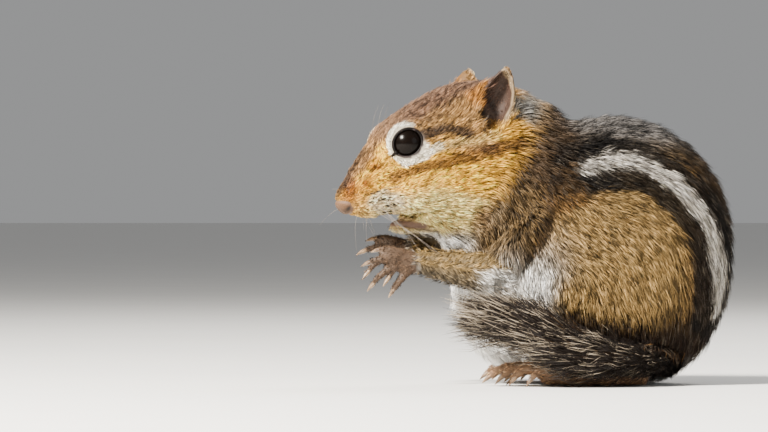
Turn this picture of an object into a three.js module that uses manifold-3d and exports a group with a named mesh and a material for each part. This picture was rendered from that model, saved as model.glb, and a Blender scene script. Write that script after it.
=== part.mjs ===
// An eastern chipmunk sitting hunched on its haunches, both hands held before its mouth and its tail laid
// forward along its left side, as a still, life-size model.
// Millimetres, +Z up. It faces -X, its left side is towards -Y, and it rests on the plane Z = 0.
// The flesh is one smooth field of ellipsoids. Each part's surface is found on that field, and thin cuts
// part them. The shapes reach out to the tips of the coat, and the tail's longer hair is built as locks.

import * as THREE from "three";
import { mergeVertices } from "three/addons/utils/BufferGeometryUtils.js";
import Module from "manifold-3d";

const wasm = await Module();
wasm.setup();
const { Manifold, Mesh: SolidMesh } = wasm;

// Driving dimensions

const gap = 0.3; // between touching parts
const midY = 5.4; // the body's middle plane, beside the tail that lies along its left
const floorZ = 0;

const nosePoint = [-49.1, midY, 42.8]; // before the head turns
const headPitch = 26; // degrees, nose down
const headYaw = 18; // degrees, nose towards the left side
const neckPivot = [-6, midY]; // the head turns about this upright line
const skullLength = 50; // nose tip to the back of the head, in its coat
const headBlend = 4.4; // how softly the head's forms run together
const bodyBlend = 6;
const neckBlend = 9;

const eyeRadius = 4.1;
const eyePlace = [19.9, 6.1, 7.2]; // behind the nose, above the head's axis, out from the middle
const lidThickness = 0.5;
const lidLength = 7.4; // the opening between the lids
const lidHeight = 6.4;
const lidTilt = 11; // degrees, the rear corner up from the head's axis

const earPlace = [43, 6.6, 12.4];
const earRadii = [7.9, 4.4, 4.2]; // half its height, half its width and the depth of its cup
const earWall = 0.9;
const earLean = 49; // degrees from the head's axis to the ear's tip

const tailRadius = 3.3; // of its core
const tailLockLength = 14;
const tailLockWidth = 4.4;
const tailLockThickness = 0.9;

const coatColor = 0x9a7448;
const sideColor = 0xb98b52;
const bellyColor = 0xe6ddd0;
const skinColor = 0xa97c6a;
const eyeColor = 0x120d0b;
const tailColor = 0x54463a;

// Frames and fields

const degrees = Math.PI / 180;
const vec = (x, y, z) => new THREE.Vector3(x, y, z);

// The head's frame: behind the nose tip, above the head's axis, out to its left.
const headMatrix = (() => {
  const back = vec(Math.cos(headPitch * degrees), 0, Math.sin(headPitch * degrees));
  const up = vec(-back.z, 0, back.x);
  const left = vec(0, -1, 0);
  const place = new THREE.Matrix4().makeBasis(back, up, left).setPosition(...nosePoint);
  const turn = new THREE.Matrix4()
    .makeTranslation(neckPivot[0], neckPivot[1], 0)
    .multiply(new THREE.Matrix4().makeRotationZ(headYaw * degrees))
    .multiply(new THREE.Matrix4().makeTranslation(-neckPivot[0], -neckPivot[1], 0));
  return turn.multiply(place);
})();
const headInverse = headMatrix.clone().invert();
const onHead = (s, h, w) => vec(s, h, w).applyMatrix4(headMatrix);
const headDirection = (s, h, w) => vec(s, h, w).transformDirection(headMatrix);

// About how far a point lies outside an ellipsoid
function ellipsoidDistance(p, center, radii) {
  const x = p.x - center[0];
  const y = p.y - center[1];
  const z = p.z - center[2];
  const near = Math.hypot(x / radii[0], y / radii[1], z / radii[2]);
  const slope = Math.hypot(x / radii[0] ** 2, y / radii[1] ** 2, z / radii[2] ** 2);
  return slope < 1e-9 ? -Math.min(...radii) : (near * (near - 1)) / slope;
}

// The nearer of two forms, run together over a width
function blended(a, b, width) {
  const share = Math.max(width - Math.abs(a - b), 0) / width;
  return Math.min(a, b) - (share * share * width) / 4;
}

const bothSides = (form) => [form, { ...form, at: [form.at[0], form.at[1], -form.at[2]] }];

// Forms of the head, in its frame: where they are and their radii behind, above and outwards
const headForms = [
  { at: [33, 0.8, 0], radii: [17.5, 13.6, 13.0] }, // skull
  { at: [23, 2.0, 0], radii: [12, 9.8, 8.8] }, // brow
  { at: [13.6, 1.2, 0], radii: [8.2, 6.9, 6.0] }, // bridge of the nose
  { at: [6.6, -0.3, 0], radii: [5.2, 4.0, 3.9] }, // muzzle
  { at: [2.9, -0.8, 0], radii: [2.4, 2.3, 2.4] }, // nose
  ...bothSides({ at: [10.4, -2.9, 3.2], radii: [5.4, 4.2, 3.6] }), // whisker pads
  ...bothSides({ at: [20.8, 5.9, 5.2], radii: [5.4, 5.1, 4.6] }), // rims of the eyes
  ...bothSides({ at: [24.5, -5.0, 6.6], radii: [12.0, 10.0, 8.4] }), // cheeks
  ...bothSides({ at: [29.5, -10.5, 5.4], radii: [11, 9.5, 9.4] }), // pouches
  ...bothSides({ at: [40, 4.5, 8.4], radii: [7, 6.6, 4.8] }), // roots of the ears
];

const sides = ([x, y, z], radii) => [
  { at: [x, midY - y, z], radii },
  { at: [x, midY + y, z], radii },
];

// Forms of the body, in the model's frame
const thighAt = [13.5, 16.4, 21.5];
const thighRadii = [20.5, 11, 20];
const bodyForms = [
  { at: [18.6, midY, 33.5], radii: [28.4, 23, 30.6] }, // back and loins
  { at: [22, midY, 23.5], radii: [22.4, 22.5, 24.5] }, // rump
  { at: [-4, midY - 0.5, 35], radii: [18.5, 16, 20] }, // chest
  { at: [-1, midY, 21.5], radii: [18, 18, 19.4] }, // belly
  ...sides([2, 10.5, 42], [12.5, 9, 15]), // shoulders
  ...sides(thighAt, thighRadii),
  { at: [-4.5, midY - 0.5, 52], radii: [13.8, 13.6, 16.6] }, // neck
];

const fieldOf = (forms, width) => (p) =>
  forms.reduce((d, form) => blended(d, ellipsoidDistance(p, form.at, form.radii), width), 1e3);
const headField = fieldOf(headForms, headBlend);
const bodyField = fieldOf(bodyForms, bodyBlend);
const flesh = (p) => blended(headField(p.clone().applyMatrix4(headInverse)), bodyField(p), neckBlend);

// Solids

function solidOf(geometry) {
  const bare = geometry.clone();
  bare.deleteAttribute("normal");
  bare.deleteAttribute("uv");
  const merged = mergeVertices(bare, 1e-4);
  const vertProperties = new Float32Array(merged.attributes.position.array);
  const triVerts = new Uint32Array(merged.index.array);
  const made = new Manifold(new SolidMesh({ numProp: 3, vertProperties, triVerts }));
  if (made.volume() >= 0) return made;
  for (let i = 0; i < triVerts.length; i += 3) {
    [triVerts[i + 1], triVerts[i + 2]] = [triVerts[i + 2], triVerts[i + 1]];
  }
  return new Manifold(new SolidMesh({ numProp: 3, vertProperties, triVerts }));
}

function geometryOf(solid) {
  const mesh = solid.getMesh();
  const positions = new Float32Array(mesh.numVert * 3);
  for (let i = 0; i < mesh.numVert; i++) {
    positions.set(mesh.vertProperties.subarray(i * mesh.numProp, i * mesh.numProp + 3), i * 3);
  }
  const geometry = new THREE.BufferGeometry();
  geometry.setAttribute("position", new THREE.BufferAttribute(positions, 3));
  geometry.setIndex(new THREE.BufferAttribute(new Uint32Array(mesh.triVerts), 1));
  return geometry;
}

const joined = (solids) => solids.reduce((whole, piece) => whole.add(piece));
const cutBy = (solid, cutters) => cutters.reduce((left, cutter) => left.subtract(cutter), solid);
const larger = (a, b) => (b.volume() > a.volume() ? b : a);
const largest = (solid) => solid.decompose().reduce(larger);

// The point where the flesh, or that surface moved out by a margin, ends along a ray
function surfaceAlong(field, start, direction, reach, margin) {
  const step = 0.7;
  const at = (d) => field(start.clone().addScaledVector(direction, d)) - margin;
  let inside = 0;
  let outside = 0;
  while (outside < reach && at(outside) < 0) {
    inside = outside;
    outside += step;
  }
  if (outside >= reach) return start.clone().addScaledVector(direction, reach);
  for (let i = 0; i < 14; i++) {
    const middle = (inside + outside) / 2;
    if (at(middle) < 0) inside = middle;
    else outside = middle;
  }
  return start.clone().addScaledVector(direction, inside);
}

function movedPoints(geometry, move) {
  const positions = geometry.attributes.position;
  const p = new THREE.Vector3();
  for (let i = 0; i < positions.count; i++) {
    p.fromBufferAttribute(positions, i);
    const q = move(p);
    positions.setXYZ(i, q.x, q.y, q.z);
  }
  return geometry;
}

// A ball blown up from a center until it meets the flesh's surface
function ballOnFlesh(center, detail, reach, margin = 0) {
  const start = vec(...center);
  return solidOf(
    movedPoints(new THREE.IcosahedronGeometry(1, detail), (p) =>
      surfaceAlong(flesh, start, p.clone().normalize(), reach, margin),
    ),
  );
}

// The head's surface, found outwards from a line between the nose and the back of the skull
function headOnFlesh(rings, around, reach, margin = 0) {
  const noseCap = 0.2; // share of the rings that close the nose
  const backCap = 0.86;
  const firstCenter = 3.2;
  const lastCenter = 44;
  return solidOf(
    movedPoints(new THREE.SphereGeometry(1, around, rings), (p) => {
      const share = Math.acos(THREE.MathUtils.clamp(p.y, -1, 1)) / Math.PI;
      const turn = Math.atan2(p.z, p.x);
      let opened = Math.PI / 2;
      if (share < noseCap) opened = (share / noseCap) * (Math.PI / 2);
      if (share > backCap) opened = Math.PI / 2 + ((share - backCap) / (1 - backCap)) * (Math.PI / 2);
      const along = THREE.MathUtils.clamp((share - noseCap) / (backCap - noseCap), 0, 1) ** 1.25;
      const s = THREE.MathUtils.lerp(firstCenter, lastCenter, along);
      const h = THREE.MathUtils.lerp(-1.3, -3, along);
      const outwards = Math.sin(opened);
      const above = Math.cos(turn) * outwards;
      const direction = headDirection(-Math.cos(opened), above, Math.sin(turn) * outwards);
      return surfaceAlong(flesh, onHead(s, h, 0), direction, reach, margin);
    }),
  );
}

// A closed tube along a smooth path. Each radius is a number, or [across, upwards].
function tube({ path, radii, around = 12, rings = 12, up = vec(0, 0, 1), grow = 0 }) {
  const curve = new THREE.CatmullRomCurve3(path.map((p) => vec(...p)), false, "centripetal");
  const spread = radii.map((r) => (Array.isArray(r) ? r : [r, r]));
  const radiusAt = (t, i) => {
    const place = t * (spread.length - 1);
    const k = Math.min(Math.floor(place), spread.length - 2);
    return THREE.MathUtils.lerp(spread[k][i], spread[k + 1][i], place - k) + grow;
  };
  return solidOf(
    movedPoints(new THREE.SphereGeometry(1, around, rings), (p) => {
      const share = Math.acos(THREE.MathUtils.clamp(p.y, -1, 1)) / Math.PI;
      const t = THREE.MathUtils.clamp((share * rings - 1) / (rings - 2), 0, 1);
      const center = curve.getPoint(t);
      const tangent = curve.getTangent(t);
      const across = up.clone().cross(tangent).normalize();
      const upwards = tangent.clone().cross(across).normalize();
      const turn = Math.atan2(p.z, p.x);
      const isPole = share < 1e-4 || share > 1 - 1e-4;
      const rounded = 0.55 * Math.min(radiusAt(t, 0), radiusAt(t, 1)) + 0.5 * grow;
      if (isPole) return center.addScaledVector(tangent, share < 0.5 ? -rounded : rounded);
      return center
        .addScaledVector(across, Math.cos(turn) * radiusAt(t, 0))
        .addScaledVector(upwards, Math.sin(turn) * radiusAt(t, 1));
    }),
  );
}

const blockSize = 300; // a half space, as a block much larger than the model

// Everything on the far side of a plane, from a point along its normal
function beyond(point, normal, margin = 0) {
  const block = new THREE.BoxGeometry(blockSize, blockSize, blockSize);
  const n = normal.clone().normalize();
  block.applyQuaternion(new THREE.Quaternion().setFromUnitVectors(vec(0, 0, 1), n));
  const middle = point.clone().addScaledVector(n, blockSize / 2 + margin);
  block.translate(middle.x, middle.y, middle.z);
  return solidOf(block);
}

const underFloor = beyond(vec(0, 0, floorZ), vec(0, 0, -1));

// The trunk: neck and torso, with the cuts that part them from the head

const headCut = { point: vec(-1, midY, 69), normal: vec(0.863, 0.16, -0.504) };
const neckCut = { point: vec(7.5, midY, 62), normal: vec(0.83, 0.05, -0.55) };

// What lies between two points of a cut's normal: behind it, or before it, half a gap clear
const behind = (cut) => beyond(cut.point, cut.normal, -gap / 2);
const before = (cut) => beyond(cut.point, cut.normal.clone().negate(), -gap / 2);

const torsoCenter = [13, midY, 29];
const torsoDetail = 6;
const wholeTorso = (margin = 0) => ballOnFlesh(torsoCenter, torsoDetail, 62, margin);
const neckCenter = [-3, midY - 1, 46];
const neckDetail = 6;

// Legs

// Each foreleg is an upper arm from the shoulder to the elbow, and a forearm from there to the wrist.
const elbow = [-9, 18.4, 26.2];
const upperArmRadii = [[5.6, 8.2], [5.6, 7.8], [5.4, 6.4], [4.6, 4.8]];
const forearmRadii = [[4.6, 5.2], [4.4, 5.0], [3.6, 4.3], [2.5, 3.3]];
const upperArmPath = (side) => [
  [3, midY - side * 12.5, 42],
  [-1.8, midY - side * 16.2, 36],
  [-6, midY - side * 18.0, 30.6],
  [elbow[0], midY - side * elbow[1], elbow[2]],
];

// The near hand closes on the left of what it held, and the far one on the right and a little higher.
const handMiddleY = midY - 10.4;
const hands = {
  left: { side: 1, lift: 0, reach: 0 },
  right: { side: -1, lift: 2.6, reach: 1.2 },
};

// A point of a hand, given for the left one as X, out from the middle of the two hands, Z
const onHand = ({ side, lift, reach }, [x, out, z]) => [x - reach, handMiddleY - side * out, z + lift];
const wristPoint = [-27.6, 4.6, 29];

const fingerRadii = [1.3, 1.25, 1.1, 0.9];
const clawRadii = [0.62, 0.5, 0.14];
const fingers = [
  [[-29.6, 5.4, 30.9], [-33, 7.2, 31.9], [-35.5, 7.7, 32.2], [-37.0, 7.2, 32.0]],
  [[-30.8, 6.0, 29.9], [-34.8, 8.2, 30.0], [-37.6, 8.6, 29.6], [-39.3, 8.1, 29.0]],
  [[-30.8, 6.0, 28.5], [-34.4, 7.8, 27.4], [-36.9, 8.1, 25.8], [-38.4, 7.6, 23.9]],
  [[-29.4, 5.4, 27.3], [-31.4, 6.6, 25.5], [-32.7, 6.8, 23.8], [-33.6, 6.3, 22.4]],
];

// A claw that goes on from a digit's tip, curving down or inwards
function claw(from, towards, length, bend, grow) {
  const tip = from.clone().addScaledVector(towards, length).add(bend);
  const middle = from.clone().addScaledVector(towards, length * 0.55).addScaledVector(bend, 0.25);
  const root = from.clone().addScaledVector(towards, -0.5);
  const path = [root.toArray(), middle.toArray(), tip.toArray()];
  return tube({ path, radii: clawRadii, around: 5, rings: 4, grow });
}

function digit(path, radii, clawLength, clawBend, grow = 0) {
  const last = vec(...path.at(-1));
  const towards = last.clone().sub(vec(...path.at(-2))).normalize();
  return [
    tube({ path, radii, around: 6, rings: 6, up: vec(0, 0.3, 1), grow }),
    claw(last.clone().addScaledVector(towards, 0.2), towards, clawLength, clawBend, grow),
  ];
}

function hand(which) {
  const wrist = onHand(which, wristPoint);
  const palmPath = [wrist, onHand(which, [-29.6, 5.2, 29.1]), onHand(which, [-32.0, 6.2, 29.1])];
  const palm = tube({ path: palmPath, radii: [[2.2, 2.7], [2.0, 3.1], [1.7, 2.7]], around: 10, rings: 6 });
  const inwards = vec(-0.3, which.side * 0.7, -0.4);
  return joined([
    palm,
    ...fingers.flatMap((path) => digit(path.map((p) => onHand(which, p)), fingerRadii, 1.9, inwards)),
  ]);
}

const upperArm = ({ side }, grow = 0) =>
  tube({
    path: upperArmPath(side),
    radii: upperArmRadii,
    around: 12,
    rings: 9,
    up: vec(0, -side, 0.2),
    grow,
  });

function forearm(which, grow = 0) {
  const wrist = onHand(which, wristPoint);
  const start = [elbow[0], midY - which.side * elbow[1], elbow[2]];
  const between = (share) => start.map((value, i) => THREE.MathUtils.lerp(value, wrist[i], share));
  const path = [start, between(0.33), between(0.7), wrist];
  return tube({ path, radii: forearmRadii, around: 12, rings: 9, grow });
}

const armRoom = (which) => joined([upperArm(which, gap), forearm(which, gap)]);

// The hind foot, from heel to claws, given for the left one as X, out from the middle plane, Z
const onFoot = (side, [x, out, z]) => [x, midY - side * out, z];
const solePath = [[26, 16.6, 3.4], [18, 17.2, 3.9], [9, 18.2, 4.2], [1.5, 19.0, 3.4]];
const soleRadii = [[2.8, 3.6], [3.4, 4.2], [4.0, 4.4], [4.4, 3.4]];
const toeRadii = [1.6, 1.6, 1.45, 1.15];
const toes = [
  [[2, 14.6, 3.0], [-1.6, 13.4, 3.7], [-3.8, 12.8, 3.0], [-5.2, 12.4, 1.8]],
  [[0, 16.4, 3.4], [-4.6, 15.6, 4.6], [-8.4, 15.0, 3.9], [-10.8, 14.7, 2.2]],
  [[0.5, 18.8, 3.4], [-3.0, 18.6, 4.8], [-6.0, 18.7, 4.0], [-8.0, 18.8, 2.2]],
  [[1.2, 20.9, 3.4], [-1.0, 21.6, 4.8], [-3.2, 22.0, 4.0], [-4.9, 22.3, 2.2]],
  [[3.6, 22.4, 3.0], [1.8, 23.6, 4.4], [0.2, 24.4, 3.7], [-1.2, 24.9, 2.0]],
];

const sole = (side, grow = 0) =>
  tube({ path: solePath.map((p) => onFoot(side, p)), radii: soleRadii, around: 12, rings: 8, grow });

// The whole foot, or the room that it needs clear in what lies over it
const footForm = (side, grow = 0) =>
  joined([
    sole(side, grow),
    ...toes.flatMap((path) => digit(path.map((p) => onFoot(side, p)), toeRadii, 1.9, vec(0, 0, -0.4), grow)),
  ]);
const foot = (side) => cutBy(footForm(side), [underFloor]);
const footRoom = (side) => footForm(side, gap + 0.1);

// The thigh is a round plug of the flank
function thighPlug(side, grow = 0) {
  const inner = 9.5;
  const outer = 34;
  const plug = new THREE.CylinderGeometry(1, 1, outer - inner + 2 * grow, 24);
  plug.scale(thighRadii[0] - 1.5 + grow, 1, thighRadii[2] - 2 + grow);
  plug.translate(thighAt[0] - 0.5, midY - (side * (inner + outer)) / 2, thighAt[2]);
  return solidOf(plug);
}

// Head

const eyeCenter = (side) => onHead(eyePlace[0], eyePlace[1], side * eyePlace[2]);
const eyeOutwards = (side) => headDirection(-0.22, 0.16, side);

const ballAt = (center, radius, around = 24, rings = 16) =>
  solidOf(new THREE.SphereGeometry(radius, around, rings).translate(center.x, center.y, center.z));

// The opening between the lids: an almond of two arcs, pushed outwards through the lids
function lidOpening(side) {
  const half = lidLength / 2;
  const bulge = lidHeight / 2;
  const almond = new THREE.Shape();
  almond.moveTo(-half, 0);
  almond.bezierCurveTo(-half * 0.75, bulge * 1.2, half * 0.5, bulge * 1.3, half, 0);
  almond.bezierCurveTo(half * 0.75, -bulge * 1.2, -half * 0.5, -bulge * 1.3, -half, 0);
  const opening = new THREE.ExtrudeGeometry(almond, { depth: 8, bevelEnabled: false, curveSegments: 6 });
  const out = eyeOutwards(side);
  const tilt = lidTilt * degrees;
  const along = headDirection(Math.cos(tilt), Math.sin(tilt), 0);
  const up = out.clone().cross(along).normalize();
  const across = up.clone().cross(out).normalize();
  opening.applyMatrix4(new THREE.Matrix4().makeBasis(across, up, out));
  const start = eyeCenter(side).addScaledVector(out, 0.6);
  opening.translate(start.x, start.y, start.z);
  return solidOf(opening);
}

const ellipsoidAt = (matrix, center, radii, around = 20, rings = 14) =>
  solidOf(
    new THREE.SphereGeometry(1, around, rings)
      .applyMatrix4(new THREE.Matrix4().makeScale(...radii))
      .applyMatrix4(matrix)
      .translate(center.x, center.y, center.z),
  );

// The ear's own frame: up to its tip, across its opening, out through its opening
function earMatrix(side) {
  const lean = earLean * degrees;
  const tip = headDirection(Math.cos(lean), Math.sin(lean), side * 0.12);
  const out = headDirection(-0.42, 0.0, side);
  const across = out.clone().cross(tip).normalize();
  return new THREE.Matrix4().makeBasis(tip, across, tip.clone().cross(across).normalize());
}

const earOpens = (side) => vec(0, 0, 1).applyMatrix4(earMatrix(side));

// The outline of an ear, narrowed towards its tip, the more so along its front edge
function earForm(side, center, radii) {
  const form = movedPoints(new THREE.SphereGeometry(1, 14, 10).rotateZ(-Math.PI / 2), (p) => {
    const x = THREE.MathUtils.clamp(p.x, 0, 0.995);
    const pointed = (1 - x) ** 0.25 / (1 + x) ** 0.5;
    return vec(p.x, p.y * (p.y > 0 ? pointed : THREE.MathUtils.lerp(1, pointed, 0.35)), p.z);
  });
  form.scale(...radii).applyMatrix4(earMatrix(side)).translate(center.x, center.y, center.z);
  return solidOf(form);
}

// The cup of an ear: a shell, open on its outer side
function ear(side) {
  const center = onHead(earPlace[0], earPlace[1], side * earPlace[2]);
  const out = earOpens(side);
  const hollowRadii = earRadii.map((r) => r - earWall);
  const outside = earForm(side, center, earRadii);
  const hollow = earForm(side, center.clone().addScaledVector(out, 0.35), hollowRadii);
  return largest(cutBy(outside, [hollow, beyond(center, out, 0.9)]));
}

const earRoom = (side) =>
  ellipsoidAt(
    earMatrix(side),
    onHead(earPlace[0], earPlace[1], side * earPlace[2]),
    earRadii.map((r) => r + gap + 0.1),
    14,
    9,
  );

const nostrilPath = [[0.6, -1.9, 1.5], [2.2, -1.5, 2.4], [3.9, -1.9, 2.9]];
const nostril = (side) =>
  tube({
    path: nostrilPath.map(([s, h, w]) => onHead(s, h, side * w).toArray()),
    radii: [[0.35, 0.5], [0.6, 0.75], [0.3, 0.4]],
    around: 8,
    rings: 6,
  });

// The open mouth: a wedge under the upper lip that runs back to its corners
function mouthRoom() {
  const wedge = new THREE.Shape();
  wedge.moveTo(3.2, -14);
  wedge.lineTo(3.2, -6.4);
  wedge.quadraticCurveTo(8, -7.4, 11, -8.6);
  wedge.lineTo(16.4, -9.6);
  wedge.lineTo(16.4, -10.3);
  wedge.lineTo(13.5, -11.6);
  wedge.lineTo(9.6, -14);
  const depth = 24;
  const room = new THREE.ExtrudeGeometry(wedge, { depth, bevelEnabled: false, curveSegments: 6 });
  room.translate(0, 0, -depth / 2);
  return solidOf(room.applyMatrix4(headMatrix));
}

// The slit that runs down from between the nostrils to the lip
function lipCleft() {
  const slit = new THREE.BoxGeometry(2.6, 5, 0.55);
  slit.rotateZ(-0.5);
  slit.translate(3.2, -5.6, 0);
  return solidOf(slit.applyMatrix4(headMatrix));
}

function head() {
  const eyes = [1, -1];
  const body = headOnFlesh(27, 24, 27);
  const lids = eyes.map((side) => ballAt(eyeCenter(side), eyeRadius + gap + lidThickness, 18, 12));
  const sockets = eyes.map((side) => ballAt(eyeCenter(side), eyeRadius + gap, 16, 10));
  return cutBy(joined([body, ...lids]), [
    behind(headCut),
    ...sockets,
    ...eyes.map(lidOpening),
    ...eyes.map(earRoom),
    ...eyes.map(nostril),
    mouthRoom(),
    lipCleft(),
    ...[hands.left, hands.right].map(armRoom),
  ]);
}

// The lower jaw, short and set back under the upper lip
const jawPath = [[9.8, -10.6, 0], [12.4, -11.6, 0], [17, -13.2, 0], [23, -14, 0]];
const jawRadii = [[1.4, 1.1], [2.8, 2.1], [5.0, 4.0], [7.4, 6.4]];

const jaw = (grow = 0) =>
  tube({
    path: jawPath.map((p) => onHead(...p).toArray()),
    radii: jawRadii,
    around: 16,
    rings: 10,
    up: headDirection(0, 1, 0),
    grow,
  });

// Tail

const tailPath = [
  [28.5, midY - 1, 6.2],
  [30.8, midY - 9.5, 5.8],
  [28.2, midY - 19, 5.8],
  [20.5, midY - 26.4, 6.6],
  [11, midY - 29.4, 8.8],
  [2, midY - 29.8, 13.0],
  [-7, midY - 28.2, 15.4],
  [-16, midY - 26, 16.4],
];
const tailCurve = new THREE.CatmullRomCurve3(tailPath.map((p) => vec(...p)), false, "centripetal");
const tailEnd = 0.86; // share of the path where the flesh ends and only hair goes on
const tailCuts = [0.38, 0.64].map((t) => ({ point: tailCurve.getPoint(t), normal: tailCurve.getTangent(t) }));
const tailRadiusAt = (t) => tailRadius * (1 - 0.45 * t * t);

// Evenly spread random numbers that are the same each time
let seed = 7;
function random() {
  seed = (seed * 16807) % 2147483647;
  return seed / 2147483647;
}

// One flat, tapered lock of hair that leaves the tail's core and bends along it towards its tip
function tailLock(t, turn, length, lean) {
  const center = tailCurve.getPoint(t);
  const tangent = tailCurve.getTangent(t);
  const across = vec(0, 0, 1).cross(tangent).normalize();
  const upwards = tangent.clone().cross(across);
  const outwards = across.clone().multiplyScalar(Math.cos(turn)).addScaledVector(upwards, Math.sin(turn));
  const sunk = 0.3 * tailRadiusAt(t);
  const lowest = tailLockThickness / 2 + 0.25;
  const path = [0, 0.35, 0.7, 1].map((share) => {
    const angle = lean * (1 - 0.3 * share);
    const p = center
      .clone()
      .addScaledVector(outwards, sunk + length * share * Math.sin(angle))
      .addScaledVector(tangent, length * share * Math.cos(angle));
    return [p.x, p.y, Math.max(p.z, lowest)];
  });
  const half = tailLockWidth / 2;
  const thick = tailLockThickness / 2;
  return tube({
    path,
    radii: [[half * 0.75, thick], [half, thick], [half * 0.66, thick * 0.8], [0.2, 0.16]],
    around: 4,
    rings: 5,
    up: outwards,
  });
}

// Staggered rows of locks around the tail between two shares of its path
function tailLocks({ from, to, rows, perRow, leastLean, mostLean }) {
  const locks = [];
  for (let row = 0; row < rows; row++) {
    const t = from + ((to - from) * (row + 0.5)) / rows;
    for (let k = 0; k < perRow; k++) {
      const turn = ((k + (row % 2) / 2) / perRow) * 2 * Math.PI + 0.3 * (random() - 0.5);
      const length = tailLockLength * (0.75 + 0.5 * t) * (0.88 + 0.24 * random());
      const lean = leastLean + (mostLean - leastLean) * random();
      locks.push(tailLock(t, turn, length, lean * degrees));
    }
  }
  return locks;
}

// The tail is made whole and then parted like the rest of the body
function tail() {
  const clear = [wholeTorso(gap + 0.05), footRoom(1), underFloor];
  const shares = [0, 1, 2, 3, 4, 5, 6, 7, 8].map((k) => (k / 8) * tailEnd);
  const path = shares.map((t) => tailCurve.getPoint(t).toArray());
  const core = tube({ path, radii: shares.map(tailRadiusAt), around: 9, rings: 17 });
  const locks = [
    ...tailLocks({ from: 0.13, to: 0.37, rows: 2, perRow: 4, leastLean: 22, mostLean: 34 }),
    ...tailLocks({ from: 0.37, to: 0.63, rows: 3, perRow: 5, leastLean: 26, mostLean: 44 }),
    ...tailLocks({ from: 0.63, to: 0.86, rows: 4, perRow: 5, leastLean: 26, mostLean: 54 }),
  ];
  const whole = cutBy(joined([core, ...locks]), clear);
  return {
    tail_base: cutBy(whole, [behind(tailCuts[0])]),
    tail_middle: cutBy(whole, [before(tailCuts[0]), behind(tailCuts[1])]),
    tail_tip: cutBy(whole, [before(tailCuts[1])]),
  };
}

// Assembly

const material = (color, roughness = 0.85) =>
  new THREE.MeshStandardMaterial({ color, roughness, metalness: 0 });

const chipmunk = new THREE.Group();
function addPart(name, solid, color, roughness) {
  const mesh = new THREE.Mesh(geometryOf(largest(solid)), material(color, roughness));
  mesh.name = name;
  chipmunk.add(mesh);
}

const bothHands = [hands.left, hands.right];
const armRooms = bothHands.map(armRoom);
const footRooms = [footRoom(1), footRoom(-1)];

const torsoWhole = cutBy(wholeTorso(), [underFloor]);
addPart(
  "torso",
  cutBy(torsoWhole, [before(neckCut), ...armRooms, ...footRooms, thighPlug(1, gap), thighPlug(-1, gap)]),
  sideColor,
);
const wholeNeck = ballOnFlesh(neckCenter, neckDetail, 30);
addPart("neck", cutBy(wholeNeck, [before(headCut), behind(neckCut), ...armRooms]), coatColor);
const headSolid = head();
const jawRoom = jaw(gap);
addPart("head", headSolid.subtract(jawRoom), coatColor);
addPart("lower_jaw", cutBy(jaw(), [...armRooms, behind(headCut)]), bellyColor);

const sideNames = { 1: "left", [-1]: "right" };
for (const side of [1, -1]) {
  const name = sideNames[side];
  const which = hands[name];
  const room = footRoom(side);
  addPart("eye_" + name, ballAt(eyeCenter(side), eyeRadius, 16, 10), eyeColor, 0.1);
  addPart("ear_" + name, ear(side), skinColor);
  addPart("thigh_" + name, cutBy(torsoWhole.intersect(thighPlug(side)), [room, ...armRooms]), sideColor);
  addPart("hind_foot_" + name, foot(side), skinColor);
  const wrist = { point: vec(...onHand(which, wristPoint)), normal: vec(-1, 0, 0) };
  addPart("upper_arm_" + name, cutBy(upperArm(which), [forearm(which, gap)]), coatColor);
  addPart("forearm_" + name, cutBy(forearm(which), [behind(wrist)]), coatColor);
  addPart("hand_" + name, cutBy(hand(which), [before(wrist)]), skinColor);
}

for (const [name, solid] of Object.entries(tail())) addPart(name, solid, tailColor);

export default chipmunk;
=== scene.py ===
import bpy
import bmesh
import math
import numpy as np
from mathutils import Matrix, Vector, kdtree
from mathutils.bvhtree import BVHTree


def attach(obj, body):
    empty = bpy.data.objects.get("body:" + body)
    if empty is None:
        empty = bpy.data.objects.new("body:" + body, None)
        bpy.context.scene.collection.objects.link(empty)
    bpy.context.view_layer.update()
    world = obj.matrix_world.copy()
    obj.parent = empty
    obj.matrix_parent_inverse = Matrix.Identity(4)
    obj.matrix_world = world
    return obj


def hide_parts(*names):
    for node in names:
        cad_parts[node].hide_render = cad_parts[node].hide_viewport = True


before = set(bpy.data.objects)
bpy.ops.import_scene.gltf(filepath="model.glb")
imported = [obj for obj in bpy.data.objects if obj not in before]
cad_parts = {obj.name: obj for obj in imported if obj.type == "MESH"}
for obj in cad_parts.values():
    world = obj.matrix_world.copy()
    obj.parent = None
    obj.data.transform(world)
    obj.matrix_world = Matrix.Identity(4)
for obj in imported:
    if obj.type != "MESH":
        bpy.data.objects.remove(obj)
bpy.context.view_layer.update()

mm = 0.001
rng = np.random.default_rng(41)

# where things are: millimetres, the same frame as the solids

photo = {"mmPerPixel": 0.235, "zeroColumn": 536, "zeroRow": 386, "width": 768, "height": 432}
midY = 5.4
headFrame = {"nose": (-49.1, midY, 42.8), "pitch": 26, "yaw": 18, "pivot": (-6, midY)}


def headAxes():
    pitch = math.radians(headFrame["pitch"])
    yaw = math.radians(headFrame["yaw"])
    turn = np.array([[math.cos(yaw), -math.sin(yaw), 0], [math.sin(yaw), math.cos(yaw), 0], [0, 0, 1]])
    back = np.array([math.cos(pitch), 0, math.sin(pitch)])
    up = np.array([-back[2], 0, back[0]])
    left = np.array([0, -1.0, 0])
    pivot = np.array([headFrame["pivot"][0], headFrame["pivot"][1], 0])
    origin = turn @ (np.array(headFrame["nose"]) - pivot) + pivot
    return origin, np.array([turn @ back, turn @ up, turn @ left])


headOrigin, headBasis = headAxes()


def onHead(s, h, w):  # behind the nose tip, above the head's axis, out to its left
    return headOrigin + np.array([s, h, w]) @ headBasis


def headDirection(s, h, w):
    return unit(np.array([s, h, w]) @ headBasis)


def inHead(points):
    return (points - headOrigin) @ headBasis.T


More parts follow.
